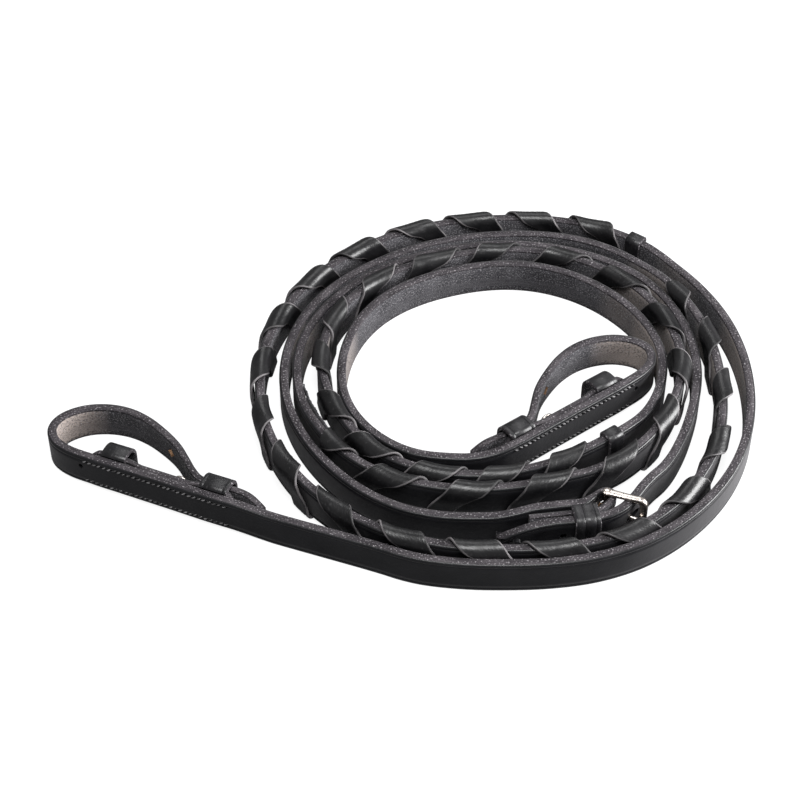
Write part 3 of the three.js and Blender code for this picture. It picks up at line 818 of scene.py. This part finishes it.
def torn_hole_cutter(rein, s, radius):
    """The billet's hole: punched, then torn into a star by the stud."""
    middle, along, outward, _, _ = rein.at(s)
    outline = []
    for k, (x, y) in enumerate(circle(16)):
        reach = radius * (1.35 if k % 4 == 0 else 0.72 + 0.18 * (k % 2))
        outline.append((reach * x, 1.2 * reach * y))
    return strap_cutter(outline, middle, (along, UP, outward), CUT_REACH, RAW)


def bit_end_strap(rein):
    """The stitched end of a rein with its billet, carried on past the hinge."""
    side = rein.side
    seam = rein.swing + SEAM_BEYOND_SWING
    piece = strap(f"{side}_bit_end_leather", rein, 0.0, seam)
    thread_hole = rein.front_keeper - THREAD_HOLE_BEFORE_KEEPER
    carve(piece, [
        torn_hole_cutter(rein, BILLET_HOLE, BILLET_HOLE_RADIUS),
        hole_cutter(rein, thread_hole, THREAD_HOLE_HEIGHT, THREAD_HOLE_RADIUS, 0.85),
    ])
    add_warmth(piece, rein.warm_spots)
    _, along, _, _, _ = rein.at(rein.swing)
    hinge = rein.point(rein.swing, 0, 0)
    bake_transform(piece)
    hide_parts(f"{side}_bit_end_strap")


def rein_strap(rein, cutters, point_length=0.0):
    """The rest of a rein, as far as its buckle end, with holes cut in it."""
    start = rein.swing + SEAM_BEYOND_SWING
    piece = strap(f"{rein.side}_rein_leather", rein, start, rein.length, point_length)
    carve(piece, cutters)
    add_warmth(piece, rein.warm_spots)
    place_on(piece, "coil", f"{rein.side}_rein_strap")


# ---- Lay, keepers and stud of a bit end ----


def place_on_bit_end(piece, rein, node):
    """Fixes a piece to a rein's bit end, for the node of that name on the same side."""
    place_on(piece, f"{rein.side}_bit_end", f"{rein.side}_{node}")


def stud_lay(rein):
    """The lay, stitched to the flesh side, humped over each keeper's tucked end."""
    start, end = rein.lay
    keepers = (rein.front_keeper, rein.rear_keeper)

    def place(s):
        hump = max(1 - smoothstep(abs(s - k), 5.8 * MM, 13.5 * MM) for k in keepers)
        taper = smoothstep(min(s - start, end - s), -0.2 * MM, 7 * MM)
        half_height = LAY_HALF_HEIGHT * (0.42 + 0.58 * taper)
        half_thickness = LAY_HALF_THICKNESS * (0.55 + 0.45 * taper)
        return -(LAY_INWARD + LAY_HUMP * hump), half_height, half_thickness

    stations = bend_stations(rein, start, end, 0.9 * MM)
    rings, coords = strap_rings(rein, stations, place, side=-1)
    piece = loft(f"{rein.side}_lay_leather", rings, STRAP_LOOK, strap_look(), coords, cap_material=EDGE)
    place_on_bit_end(piece, rein, "stud_lay")


def rounded_box(left, right, bottom, top, radii, per_corner=7, per_side=4):
    """(out, up, normal out, normal up) round a box whose four corners have their own radii,
    given from the lower right one anticlockwise."""
    corners = [
        (right - radii[0], bottom + radii[0], -90, radii[0]),
        (right - radii[1], top - radii[1], 0, radii[1]),
        (left + radii[2], top - radii[2], 90, radii[2]),
        (left + radii[3], bottom + radii[3], 180, radii[3]),
    ]
    points = []
    for x, y, start, radius in corners:
        for k in range(per_corner + 1):
            angle = math.radians(start + 90 * k / per_corner)
            nx, ny = math.cos(angle), math.sin(angle)
            points.append((x + radius * nx, y + radius * ny, nx, ny))
    filled = []
    for a, b in zip(points, points[1:] + points[:1]):
        filled.append(a)
        gap = math.dist(a[:2], b[:2])
        if gap > 2 * MM:
            for k in range(1, per_side):
                t = k / per_side
                filled.append(tuple(p + (q - p) * t for p, q in zip(a, b)))
    return filled


def keeper_section(length, wall, creases):
    """A keeper's wall, cut along the strap, as (along, out of the wall, look of the side that
    follows). Looks are places in KEEPER_LOOK."""
    half = length / 2
    bevel = 0.35 * MM
    outer = [(-half + bevel, wall)]
    for crease in creases:
        outer.append((crease - CREASE_HALF_WIDTH, wall))
        outer.append((crease, wall - KEEPER_GROOVE))
        outer.append((crease + CREASE_HALF_WIDTH, wall))
    outer.append((half - bevel, wall))
    section = [(-half, 0.15 * MM, 1), (-half, wall * 0.5, 1), (-half + 0.08 * MM, wall - 0.25 * MM, 1)]
    section += [(u, w, 0) for u, w in outer]
    section[-1] = (*outer[-1], 1)
    section += [(half - 0.08 * MM, wall - 0.25 * MM, 1), (half, wall * 0.5, 1), (half, 0.15 * MM, 1)]
    section += [(half - 0.2 * MM, 0, 2), (0, 0, 2), (-half + 0.2 * MM, 0, 1)]
    return section


def leather_ring(name, rein, s, length, outline, wall, creases=(), skew=0.0):
    """A leather band bent round a bundle of straps. wall(out, up) gives its thickness."""
    middle, along, outward, _, _ = rein.at(s)
    rings, coords = [], []
    travelled = 0.0
    before = outline[-1]
    for out, up, nx, nz in outline:
        travelled += math.dist(before[:2], (out, up))
        before = (out, up)
        section = keeper_section(length, wall(out, up), creases)
        base = middle + outward * out + UP * up
        normal = outward * nx + UP * nz
        lean = along * (skew * up)
        rings.append([base + along * u + normal * w + lean for u, w, _ in section])
        coords.append([(travelled, u + w, s) for u, w, _ in section])
    looks = [look for _, _, look in keeper_section(length, wall(*outline[0][:2]), creases)]
    return loft(name, rings, KEEPER_LOOK, looks, coords, round_trip=True)


def bit_keeper(rein, s, node, length, round_corners, creases):
    """A keeper tucked between strap and lay; it stands out on the flesh side."""
    low, high = -11.8 * MM, -3.4 * MM
    reach = 8.2 * MM
    sharp = 0.7 * MM
    radii = (sharp, sharp, round_corners, round_corners)
    outline = rounded_box(low, high, -reach, reach, radii)

    def wall(out, up):
        if up < -reach + 1.5 * MM:
            return KEEPER_UNDER
        return KEEPER_TUCK if out > high - 0.2 * MM and up < reach - 0.5 * MM else KEEPER_WALL

    piece = leather_ring(f"{rein.side}_{node}_leather", rein, s, length, outline, wall, creases)
    place_on_bit_end(piece, rein, node)


def lathe_part(profile, origin, axis, side):
    """A turned solid: profile of (radius, height) from one point on the axis to the other."""
    sides = LATHE_SIDES
    third = np.cross(axis, side)
    points, faces = [], []
    rings = profile[1:-1]
    for radius, height in rings:
        for x, y in circle(sides):
            across = side * x + third * y
            points.append(origin + axis * height + across * radius)
    for i in range(len(rings) - 1):
        for k in range(sides):
            n = (k + 1) % sides
            faces.append((i * sides + k, i * sides + n, (i + 1) * sides + n, (i + 1) * sides + k))
    first, last = len(points), len(points) + 1
    points.append(origin + axis * profile[0][1])
    points.append(origin + axis * profile[-1][1])
    top = (len(rings) - 1) * sides
    for k in range(sides):
        n = (k + 1) % sides
        faces.append((first, n, k))
        faces.append((last, top + k, top + n))
    return points, faces, [0] * len(faces), [(0, 0, 0)] * len(points)


def hook_stud(rein):
    """A round base plate, a shank and a flat head that reaches towards the loop."""
    middle, along, outward, _, _ = rein.at(rein.rear_keeper - STUD_BEFORE_KEEPER)
    flesh = -outward
    loopward = -along
    face = middle + flesh * STUD_FACE
    head_face = face + loopward * STUD_HEAD_SHIFT
    plate = [(0, 0.1), (3.0, 0.1), (3.2, 0.35), (3.0, 0.65), (2.2, 0.85), (0, 0.95)]
    shank = [(0, 0.6), (1.7, 0.7), (1.3, 1.4), (1.2, 2.6), (1.4, 3.5), (0, 3.9)]
    head = [(0, 3.0), (0.9, 3.1), (1.8, 3.4), (2.3, 3.9), (2.4, 4.3), (2.2, 4.7), (1.5, 5.2)]
    head += [(0.7, 5.4), (0, 5.45)]
    parts = []
    for profile, origin in ((plate, face), (shank, face), (head, head_face)):
        scaled = [(radius * MM, height * MM) for radius, height in profile]
        parts.append(lathe_part(scaled, origin, flesh, loopward))
    head_points = parts[2][0]
    for k, point in enumerate(head_points):
        head_points[k] = point + loopward * ((point - head_face) @ loopward) * STUD_HEAD_STRETCH
    piece = join_parts(f"{rein.side}_stud_metal", parts, METAL_LOOK)
    place_on_bit_end(piece, rein, "hook_stud")


# ---- Thread ----


# A stitch, as (share of its length, share of its radius, height in radii).
STITCH_SHAPE = [(0.0, 0.35, -0.6), (0.15, 0.8, 0.1), (0.35, 1.0, 0.55)]
STITCH_SHAPE += [(0.65, 1.0, 0.55), (0.85, 0.8, 0.1), (1.0, 0.35, -0.6)]


def stitch_part(start, end, lift, radius):
    """One stitch: a short arched thread whose ends sink into the leather."""
    along = end - start
    direction = along / np.linalg.norm(along)
    out = lift / np.linalg.norm(lift)
    across = np.cross(direction, out)
    points, coords = [], []
    for t, width, height in STITCH_SHAPE:
        centre = start + along * t + out * radius * height
        for k in range(STITCH_SIDES):
            angle = 2 * math.pi * k / STITCH_SIDES
            ring = across * math.cos(angle) + out * math.sin(angle)
            points.append(centre + ring * radius * width)
            coords.append((start[0] + t * STITCH_LENGTH, angle * MM, start[1]))
    faces, look = ring_faces(len(STITCH_SHAPE), STITCH_SIDES, False, [0] * STITCH_SIDES)
    return points, faces, look, coords


def stitch_hole_shade(centre, out, along):
    """Painted shade of the awl's hole at the end of a stitch: a dark, flat lens on the leather."""
    up = np.cross(out, along)
    points = [centre + out * 0.05 * MM]
    for x, y in circle(10):
        rim = (along * x * 1.25 + up * y) * HOLE_SHADE_RADIUS
        points.append(centre + rim - out * 0.1 * MM)
    faces = [(0, 1 + k, 1 + (k + 1) % 10) for k in range(10)] + [tuple(range(10, 0, -1))]
    return points, faces, [1] * len(faces), [(0, 0, 0)] * len(points)


def stitch_parts(rein, start, end, side, face, seed):
    """A row of slanted stitches near an edge (side 1 is the upper) on a face of the strap."""
    draw = random.Random(seed)
    parts = []
    for s in np.arange(start, end - STITCH_LENGTH, STITCH_PITCH):
        s += draw.uniform(-0.2, 0.2) * MM
        up = side * (STRAP_HALF_HEIGHT - STITCH_INSET) + draw.uniform(-0.15, 0.15) * MM
        slant = STITCH_SLANT + draw.uniform(-0.14, 0.14) * MM
        length = STITCH_LENGTH * draw.uniform(0.85, 1.05)
        radius = STITCH_RADIUS * draw.uniform(0.8, 1.1)
        out = face(s)
        _, along, outward, _, _ = rein.at(s)
        a = rein.point(s, out, up - slant)
        b = rein.point(s + length, face(s + length), up + slant)
        normal = outward * (1 if out > 0 else -1)
        parts.append(stitch_part(a, b, normal, radius))
        # A dark disc of painted shade where the stitch goes into its hole.
        hole_shade_disc = rein.point(s + length + 0.35 * MM, face(s + length), up + 0.1 * MM)
        parts.append(stitch_hole_shade(hole_shade_disc, normal, along))
    return parts


def stitch_row(rein, row, side, seed):
    """One row of the lay's thread, seen on the grain side."""
    node = f"{rein.side}_stitch_row_{row}"
    start, end = rein.reach(node, 0, rein.swing)
    parts = stitch_parts(rein, start, end, side, lambda s: GRAIN_FACE, seed)
    piece = join_parts(f"{rein.side}_stitches_{row}", parts, THREAD_LOOK)
    place_on_bit_end(piece, rein, f"stitch_row_{row}")


# ---- Lace ----


def lace_station(rein, turns):
    """Distance along the rein after some turns, if the lace were wound evenly."""
    return rein.stop + LACE_TO_STOP + LACE_PITCH * turns + LACE_SPREAD * turns * turns


class LaceOutline:
    """The line that the lace's inner face follows round the strap, by distance from the middle of
    the top edge down the grain side. The lace is too stiff to crease, so it rounds the top edge
    and leaves a hollow under the bend."""

    def __init__(self, half_height, half_thickness):
        a = half_thickness + LACE_STAND_OFF
        top, bottom = half_height + LACE_OVER_EDGE, half_height + LACE_STAND_OFF
        tight, loose = 1.0 * MM, 2.4 * MM
        box = rounded_box(-a, a, -bottom, top, (tight, loose, loose, tight), per_corner=8, per_side=8)
        plan = np.array(box)[::-1]
        start = int(np.argmin(np.abs(plan[:, 0]) + np.abs(plan[:, 1] - top)))
        plan = np.roll(plan, -start, axis=0)
        bulge = LACE_BULGE * np.exp(-((plan[:, 1] - 4 * MM) / (4.5 * MM)) ** 2)
        plan[:, 0] += np.where(plan[:, 2] > 0, bulge * plan[:, 2], 0)
        ahead = np.roll(plan[:, :2], -1, axis=0) - np.roll(plan[:, :2], 1, axis=0)
        ahead /= np.linalg.norm(ahead, axis=1)[:, None]
        plan[:, 2:] = np.stack([-ahead[:, 1], ahead[:, 0]], axis=1)
        self.rows = np.vstack([plan, plan[:1]])
        self.knots = plan_lengths(self.rows)
        self.length = self.knots[-1]

    def at(self, distance):
        """(out, up, normal out, normal up), going round and round."""
        place = distance % self.length
        return [np.interp(place, self.knots, self.rows[:, k]) for k in range(4)]


# The lace's section: (across its width from -1 to 1, share of its thickness, look of the side that
# follows).
LACE_SECTION = [
    (-1.0, 0.25, 1), (-1.0, 0.75, 1), (-0.97, 0.93, 1), (-0.9, 1.0, 0), (-0.7, 1.03, 0), (-0.45, 1.05, 0),
    (-0.2, 1.06, 0), (0.0, 1.06, 0), (0.2, 1.06, 0), (0.45, 1.05, 0), (0.7, 1.03, 0), (0.9, 1.0, 1),
    (0.97, 0.93, 1), (1.0, 0.75, 1), (1.0, 0.25, 1), (0.95, 0.03, 2), (0.6, 0.0, 2), (0.2, 0.0, 2),
    (-0.2, 0.0, 2), (-0.6, 0.0, 2), (-0.95, 0.03, 1),
]


def lace_way(rein, turns):
    """Distance along the rein after some turns. The lace runs most aslant where it crosses the
    top edge, and most nearly square to the strap where it passes under it."""
    from_top = turns - round(turns)
    uneven = 1 + 0.3 * smooth_noise(round(turns) * 1.7 + 5, rein.noise_seed)
    slide = LACE_SLIDE * uneven * (math.tanh(from_top / LACE_SLEW) - 2 * from_top)
    sway = LACE_SWAY * math.sin(2 * math.pi * turns)
    drift = LACE_DRIFT * smooth_noise(turns * 0.8, rein.noise_seed)
    return lace_station(rein, turns) + slide + sway + drift


def lace_ring(rein, outline, turns):
    """One ring of the lace, square to the way it runs. Past the top edge its trailing side stands
    proud on the grain side, and before it its leading side stands proud on the flesh side."""
    seed = rein.noise_seed
    step = 0.01
    along = lace_way(rein, turns + step) - lace_way(rein, turns - step)
    around = 2 * step * outline.length
    slant = math.hypot(along, around)
    half_width = LACE_WIDTH / 2 * (1 + 0.1 * smooth_noise(turns * 1.3 + 40, seed))
    proud = LACE_PROUD * (1 + 0.4 * smooth_noise(turns * 2.1 + 9, seed))
    s_middle = lace_way(rein, turns)
    ring = []
    for w, depth, _ in LACE_SECTION:
        s = s_middle + w * half_width * around / slant
        travelled = turns * outline.length - w * half_width * along / slant
        out, up, nx, nz = outline.at(travelled)
        middle, _, outward, _, _ = rein.at(min(max(s, 0), rein.length))
        from_top = travelled - round(travelled / outline.length) * outline.length
        crest = (from_top + LACE_CREST_SHIFT * w) / LACE_CREST_REACH
        lift = proud * abs(w) ** 1.5 * math.exp(-crest * crest)
        rise = depth * LACE_THICKNESS + lift
        point = middle + outward * (out + nx * rise) + UP * (up + nz * rise)
        point[2] = max(point[2], 0.08 * MM)
        ring.append(point)
    return ring


def lace(rein):
    """The lace, wound round the strap from its stop."""
    _, _, _, half_height, half_thickness = rein.at(rein.stop + 50 * MM)
    outline = LaceOutline(half_height, half_thickness)
    rings, coords = [], []
    for turns in np.arange(LACE_FROM, LACE_TO, LACE_STEP / outline.length):
        rings.append(lace_ring(rein, outline, turns))
        way = turns * outline.length
        coords.append([(w * LACE_WIDTH / 2, way, depth * MM + rein.seed) for w, depth, _ in LACE_SECTION])
    looks = [look for _, _, look in LACE_SECTION]
    piece = loft(f"{rein.side}_lace_leather", rings, LACE_LOOK, looks, coords, cap_material=1)
    place_on(piece, "coil", f"{rein.side}_lace")


def lace_tail(rein):
    """The lace's rough end, left loose along the flesh side beyond the last wrap."""
    start = lace_station(rein, LACE_TO) - 2 * MM
    length = 44 * MM
    draw = random.Random(5)
    rings, coords = [], []
    for k in range(45):
        t = k / 44
        s = start + length * t
        ragged = 0.25 * MM * smooth_noise(k * 0.9, 3)
        half_height = (4.6 * MM * (1 - t**3) + 0.35 * MM) * (1 + 0.08 * smooth_noise(k * 1.7, 8))
        half_wall = 0.75 * MM * (1 - 0.5 * t**2)
        bow = 0.35 * MM + 0.5 * MM * math.sin(math.pi * t)
        out = -STRAP_HALF_THICKNESS - half_wall - bow + ragged
        up = (1.4 + 3.4 * t) * MM
        ring = []
        for x, z in circle(16):
            x = half_wall * squared(x, 0.6) * (1 + draw.uniform(-0.12, 0.12))
            z = half_height * squared(z, 0.7)
            ring.append(rein.point(s, out + x, up + z))
        rings.append(ring)
        coords.append([(s, a * 1.3 * MM, 0) for a in range(16)])
    piece = loft(f"{rein.side}_lace_end", rings, LACE_LOOK, [2] * 16, coords, cap_material=2)
    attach(piece, "coil")


def lace_stop(rein):
    """The band that holds the lace where it starts."""
    s = rein.stop
    _, _, _, half_height, half_thickness = rein.at(s)
    a = half_thickness + 0.35 * MM
    h = half_height + 0.35 * MM
    outline = rounded_box(-a, a, -h, h, (0.9 * MM,) * 4)
    name = f"{rein.side}_lace_stop_leather"
    piece = leather_ring(name, rein, s, STOP_LENGTH, outline, lambda out, up: STOP_WALL, skew=0.04)
    place_on(piece, "coil", f"{rein.side}_lace_stop")


# ---- Centre buckle ----


class BuckleAxes:
    """The buckle's own axes: its heel bar, the way to its front bar, and across the strap."""

    def __init__(self):
        pivot = next(j for j in frame["joints"] if j["name"] == "buckle_frame_pivot")
        low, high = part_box("buckle_frame")
        self.origin = np.array([*pivot["pos_m"][:2], (low.z + high.z) / 2])
        vertices = [v.co for v in frame["nodes"]["buckle_frame"].data.vertices]
        way = np.mean(np.array(vertices), axis=0) - self.origin
        way[2] = 0
        self.along = way / np.linalg.norm(way)
        self.across = np.array([-self.along[1], self.along[0], 0])

    def point(self, along, across, up):
        return self.origin + self.along * along + self.across * across + UP * up


def swept_bar(path, sizes, power=0.6):
    """A bar along a path of (point, normal), with its (width, depth) at each place. Its section
    is round for a power of 1 and squarer for less."""
    points, coords = [], []
    places = [np.array(p) for p, _ in path]
    for i, (centre, normal) in enumerate(path):
        ahead = places[min(i + 1, len(path) - 1)] - places[max(i - 1, 0)]
        ahead = ahead / np.linalg.norm(ahead)
        across = np.cross(ahead, normal)
        across = across / np.linalg.norm(across)
        width, depth = sizes[i]
        for x, y in circle(BAR_SIDES):
            a = squared(x, power) * width / 2
            b = squared(y, power) * depth / 2
            points.append(centre + across * a + normal * b)
            coords.append((0, 0, 0))
    faces, look = ring_faces(len(path), BAR_SIDES, False, [0] * BAR_SIDES)
    return points, faces, look, coords


def buckle_frame(axes):
    """A flat frame of two side bars and a front bar, with a round heel bar that ends in bosses."""
    reach = BUCKLE_INSIDE + BAR_HEIGHT / 2
    corner = BUCKLE_CORNER
    plan = [(-1.0 * MM, reach), (2 * MM, reach), (8 * MM, reach), (13 * MM, reach)]
    turn = [math.radians(90 - 11.25 * k) for k in range(9)]
    centre = (BUCKLE_LENGTH - corner, reach - corner)
    plan += [(centre[0] + corner * math.cos(t), centre[1] + corner * math.sin(t)) for t in turn]
    plan += [(BUCKLE_LENGTH, z * MM) for z in (5, 2.5, 0)]
    plan += [(x, -z) for x, z in reversed(plan[:-1])]
    path = [(axes.point(x, 0, z), axes.across) for x, z in plan]
    sizes = []
    for x, z in plan:
        at_heel = smoothstep(-x, -3.5 * MM, 0.5 * MM)
        at_front = smoothstep(x, 11 * MM, BUCKLE_LENGTH)
        width = BAR_HEIGHT * (1 + 0.1 * at_heel) + (FRONT_BAR - BAR_HEIGHT) * at_front
        sizes.append((width, BAR_DEPTH * (1 + 0.3 * at_heel)))
    parts = [swept_bar(path, sizes)]
    heel = []
    boss = [(8.2, 1.3), (8.5, 1.7), (8.9, 2.0), (9.7, 2.05), (10.0, 1.8), (10.25, 1.2), (10.3, 0.4)]
    for z, radius in [(-z, radius) for z, radius in reversed(boss)] + boss:
        heel.append((radius * MM, z * MM))
    profile = [(0, heel[0][1])] + heel + [(0, heel[-1][1])]
    parts.append(lathe_part(profile, axes.origin, UP, axes.along))
    piece = join_parts("buckle_frame_metal", parts, METAL_LOOK)
    place_on(piece, "buckle", "buckle_frame")


def buckle_tongue(axes):
    """A round tongue: an eye round the heel bar and a shaft whose tip lies over the front bar."""
    eye = HEEL_RADIUS + 0.85 * MM
    path, sizes = [], []
    for k in range(15):
        angle = math.radians(20 + 320 * k / 14)
        centre = axes.point(eye * math.cos(angle), eye * math.sin(angle), 0)
        path.append((centre, UP))
        sizes.append((1.1 * MM, 2.2 * MM))
    tip_side = -(BAR_DEPTH / 2 + 1.25 * MM)
    shaft, thick = [], []
    for k in range(13):
        t = k / 12
        side = tip_side * smoothstep(t, 0.0, 0.85)
        shaft.append((axes.point(eye + (BUCKLE_LENGTH + 1.0 * MM - eye) * t, side, 0), UP))
        rounding = math.sqrt(max(1 - max(t - 0.92, 0) ** 2 / 0.0075, 0.02))
        thick.append(((2.1 - 0.3 * t) * MM * rounding, (2.2 - 0.3 * t) * MM * rounding))
    parts = [swept_bar(path, sizes, power=1.0), swept_bar(shaft, thick, power=1.0)]
    piece = join_parts("buckle_tongue_metal", parts, METAL_LOOK)
    place_on(piece, "tongue", "buckle_tongue")


def centre_keeper(rein):
    """The keeper that holds the pointed tail against the folded chape."""
    s = rein.centre("centre_keeper", rein.length - 90 * MM, rein.length)
    low, high, reach = -5.8 * MM, 2.85 * MM, 8.5 * MM
    wide, tight = 2.0 * MM, 0.7 * MM
    outline = rounded_box(low, high, -reach, reach, (wide, wide, tight, tight))

    def wall(out, up):
        return 0.9 * MM if out < low + 0.2 * MM and abs(up) < reach - 0.5 * MM else 1.5 * MM

    size = (CENTRE_KEEPER_LENGTH, outline, wall, CENTRE_KEEPER_CREASES)
    piece = leather_ring("centre_keeper_leather", rein, s, *size)
    place_on(piece, "coil", "centre_keeper")


def chape_stitches(rein, row, side, seed):
    """One row of the thread that closes the chape, seen on its flesh side."""
    node = f"chape_stitch_row_{row}"
    start, end = rein.reach(node, rein.length - 90 * MM, rein.length - 35 * MM)

    def face(s):
        return -(rein.at(s)[4] + 0.04 * MM)

    parts = stitch_parts(rein, start, end, side, face, seed)
    piece = join_parts(f"chape_stitches_{row}", parts, THREAD_LOOK)
    place_on(piece, "coil", node)


def tongue_crossing(rein, axes):
    """Where a rein crosses the buckle's tongue."""
    line = [axes.point(d, 0, 0) for d in np.arange(4 * MM, 18 * MM, 0.5 * MM)]
    stretch = rein.length - 100 * MM
    found = [rein.nearest(p, stretch, rein.length) for p in line]
    gaps = [math.dist(rein.point(s, 0, 0)[:2], p[:2]) for s, p in zip(found, line)]
    return found[int(np.argmin(gaps))]


def slot_cutter(axes):
    """The tongue's slot through the chape's fold, rounded at both ends."""
    x, z = SLOT_LENGTH / 2, SLOT_HEIGHT / 2
    outline = []
    for centre, start in ((x - z, -90), (z - x, 90)):
        for k in range(9):
            angle = math.radians(start + 180 * k / 8)
            outline.append((centre + z * math.cos(angle), z * math.sin(angle)))
    origin = axes.point(2.2 * MM, 0, 0)
    return strap_cutter(outline, origin, (axes.along, UP, axes.across), 4.7 * MM, RAW)


# ---- The two reins ----


def measure(side, seed):
    """A rein with the places of what sits on it, and its own seed for noise."""
    rein = Rein(side)
    rein.seed = seed
    rein.noise_seed = 1 + seed
    end = rein.swing
    rein.front_keeper = rein.centre(f"{side}_front_keeper", 100 * MM, end)
    rein.rear_keeper = rein.centre(f"{side}_rear_keeper", 100 * MM, end)
    rein.lay = rein.reach(f"{side}_stud_lay", 100 * MM, end)
    rein.stop = rein.centre(f"{side}_lace_stop", rein.length * 0.25, rein.length * 0.5)
    loop = rein.point(rein.front_keeper - 42 * MM, 0, 0)
    rein.warm_spots = [(loop, 24 * MM, 0.75)] + COIL_WARM_SPOTS
    return rein


left = measure("left", 1)
right = measure("right", 2)

for rein in (left, right):
    bit_end_strap(rein)
    stud_lay(rein)
    front = (FRONT_KEEPER_LENGTH, FRONT_KEEPER_CORNER, ())
    rear = (REAR_KEEPER_LENGTH, REAR_KEEPER_CORNER, REAR_KEEPER_CREASES)
    bit_keeper(rein, rein.front_keeper, "front_keeper", *front)
    bit_keeper(rein, rein.rear_keeper, "rear_keeper", *rear)
    hook_stud(rein)
    stitch_row(rein, "top", 1, 11)
    stitch_row(rein, "bottom", -1, 12)
    lace_stop(rein)
    lace(rein)

axes = BuckleAxes()
crossing = tongue_crossing(right, axes)
rein_strap(left, [slot_cutter(axes)])
holes = [hole_cutter(right, crossing, 0, TONGUE_HOLE_RADIUS, TONGUE_HOLE_STRETCH)]
for beyond in TAIL_HOLES_BEYOND:
    holes.append(hole_cutter(right, crossing + beyond, 0, TAIL_HOLE_RADIUS))
rein_strap(right, holes, TAIL_POINT)
lace_tail(right)
buckle_frame(axes)
buckle_tongue(axes)
centre_keeper(right)
chape_stitches(left, "top", 1, 21)
chape_stitches(left, "bottom", -1, 22)


# ---- Studio ----


def look_from(holder, aim, back, distance):
    """Puts a lamp or camera at a distance from a point, facing it."""
    holder.location = aim + back * distance
    holder.rotation_mode = "QUATERNION"
    holder.rotation_quaternion = (-back).to_track_quat("-Z", "Y")
    bpy.context.scene.collection.objects.link(holder)


def studio():
    """A white world, a pale floor and square lamps."""
    scene = bpy.context.scene
    scene.view_settings.view_transform = "Standard"
    plane = bpy.data.meshes.new("floor")
    plane.from_pydata([(-4, -4, 0), (4, -4, 0), (4, 4, 0), (-4, 4, 0)], [], [(0, 1, 2, 3)])
    floor = bpy.data.objects.new("floor", plane)
    scene.collection.objects.link(floor)
    paper = Shader("pale_floor", unrolled=False)
    white = (1, 1, 1, 1)
    seen = paper.node("LightPath").outputs["Is Camera Ray"]
    glow = paper.math("MULTIPLY", seen, FLOOR_GLOW)
    look = paper.finish(colour=FLOOR_COLOUR, roughness=0.8, specular=0.2, glow=white,
                        glow_strength=glow)
    plane.materials.append(look)

    world = bpy.data.worlds.new("studio")
    world.use_nodes = True
    background = world.node_tree.nodes["Background"].inputs
    background["Color"].default_value = white
    background["Strength"].default_value = WORLD_STRENGTH
    scene.world = world

    for name, azimuth, elevation, distance, size, power in SOFTBOXES:
        lamp = bpy.data.lights.new(name, "AREA")
        lamp.shape = "SQUARE"
        lamp.size = size
        lamp.energy = power
        a, e = math.radians(azimuth), math.radians(elevation)
        back = Vector((math.sin(a) * math.cos(e), -math.cos(a) * math.cos(e), math.sin(e)))
        look_from(bpy.data.objects.new(name, lamp), Vector(), back, distance)


def camera():
    """A long lens that looks down on the coil from in front."""
    made = bpy.data.cameras.new("camera")
    made.lens = CAMERA_LENS
    made.sensor_width = 36
    holder = bpy.data.objects.new("camera", made)
    back = Vector((0, -math.cos(CAMERA_ELEVATION), math.sin(CAMERA_ELEVATION)))
    look_from(holder, CAMERA_AIM, back, CAMERA_DISTANCE)
    bpy.context.scene.camera = holder


studio()
camera()
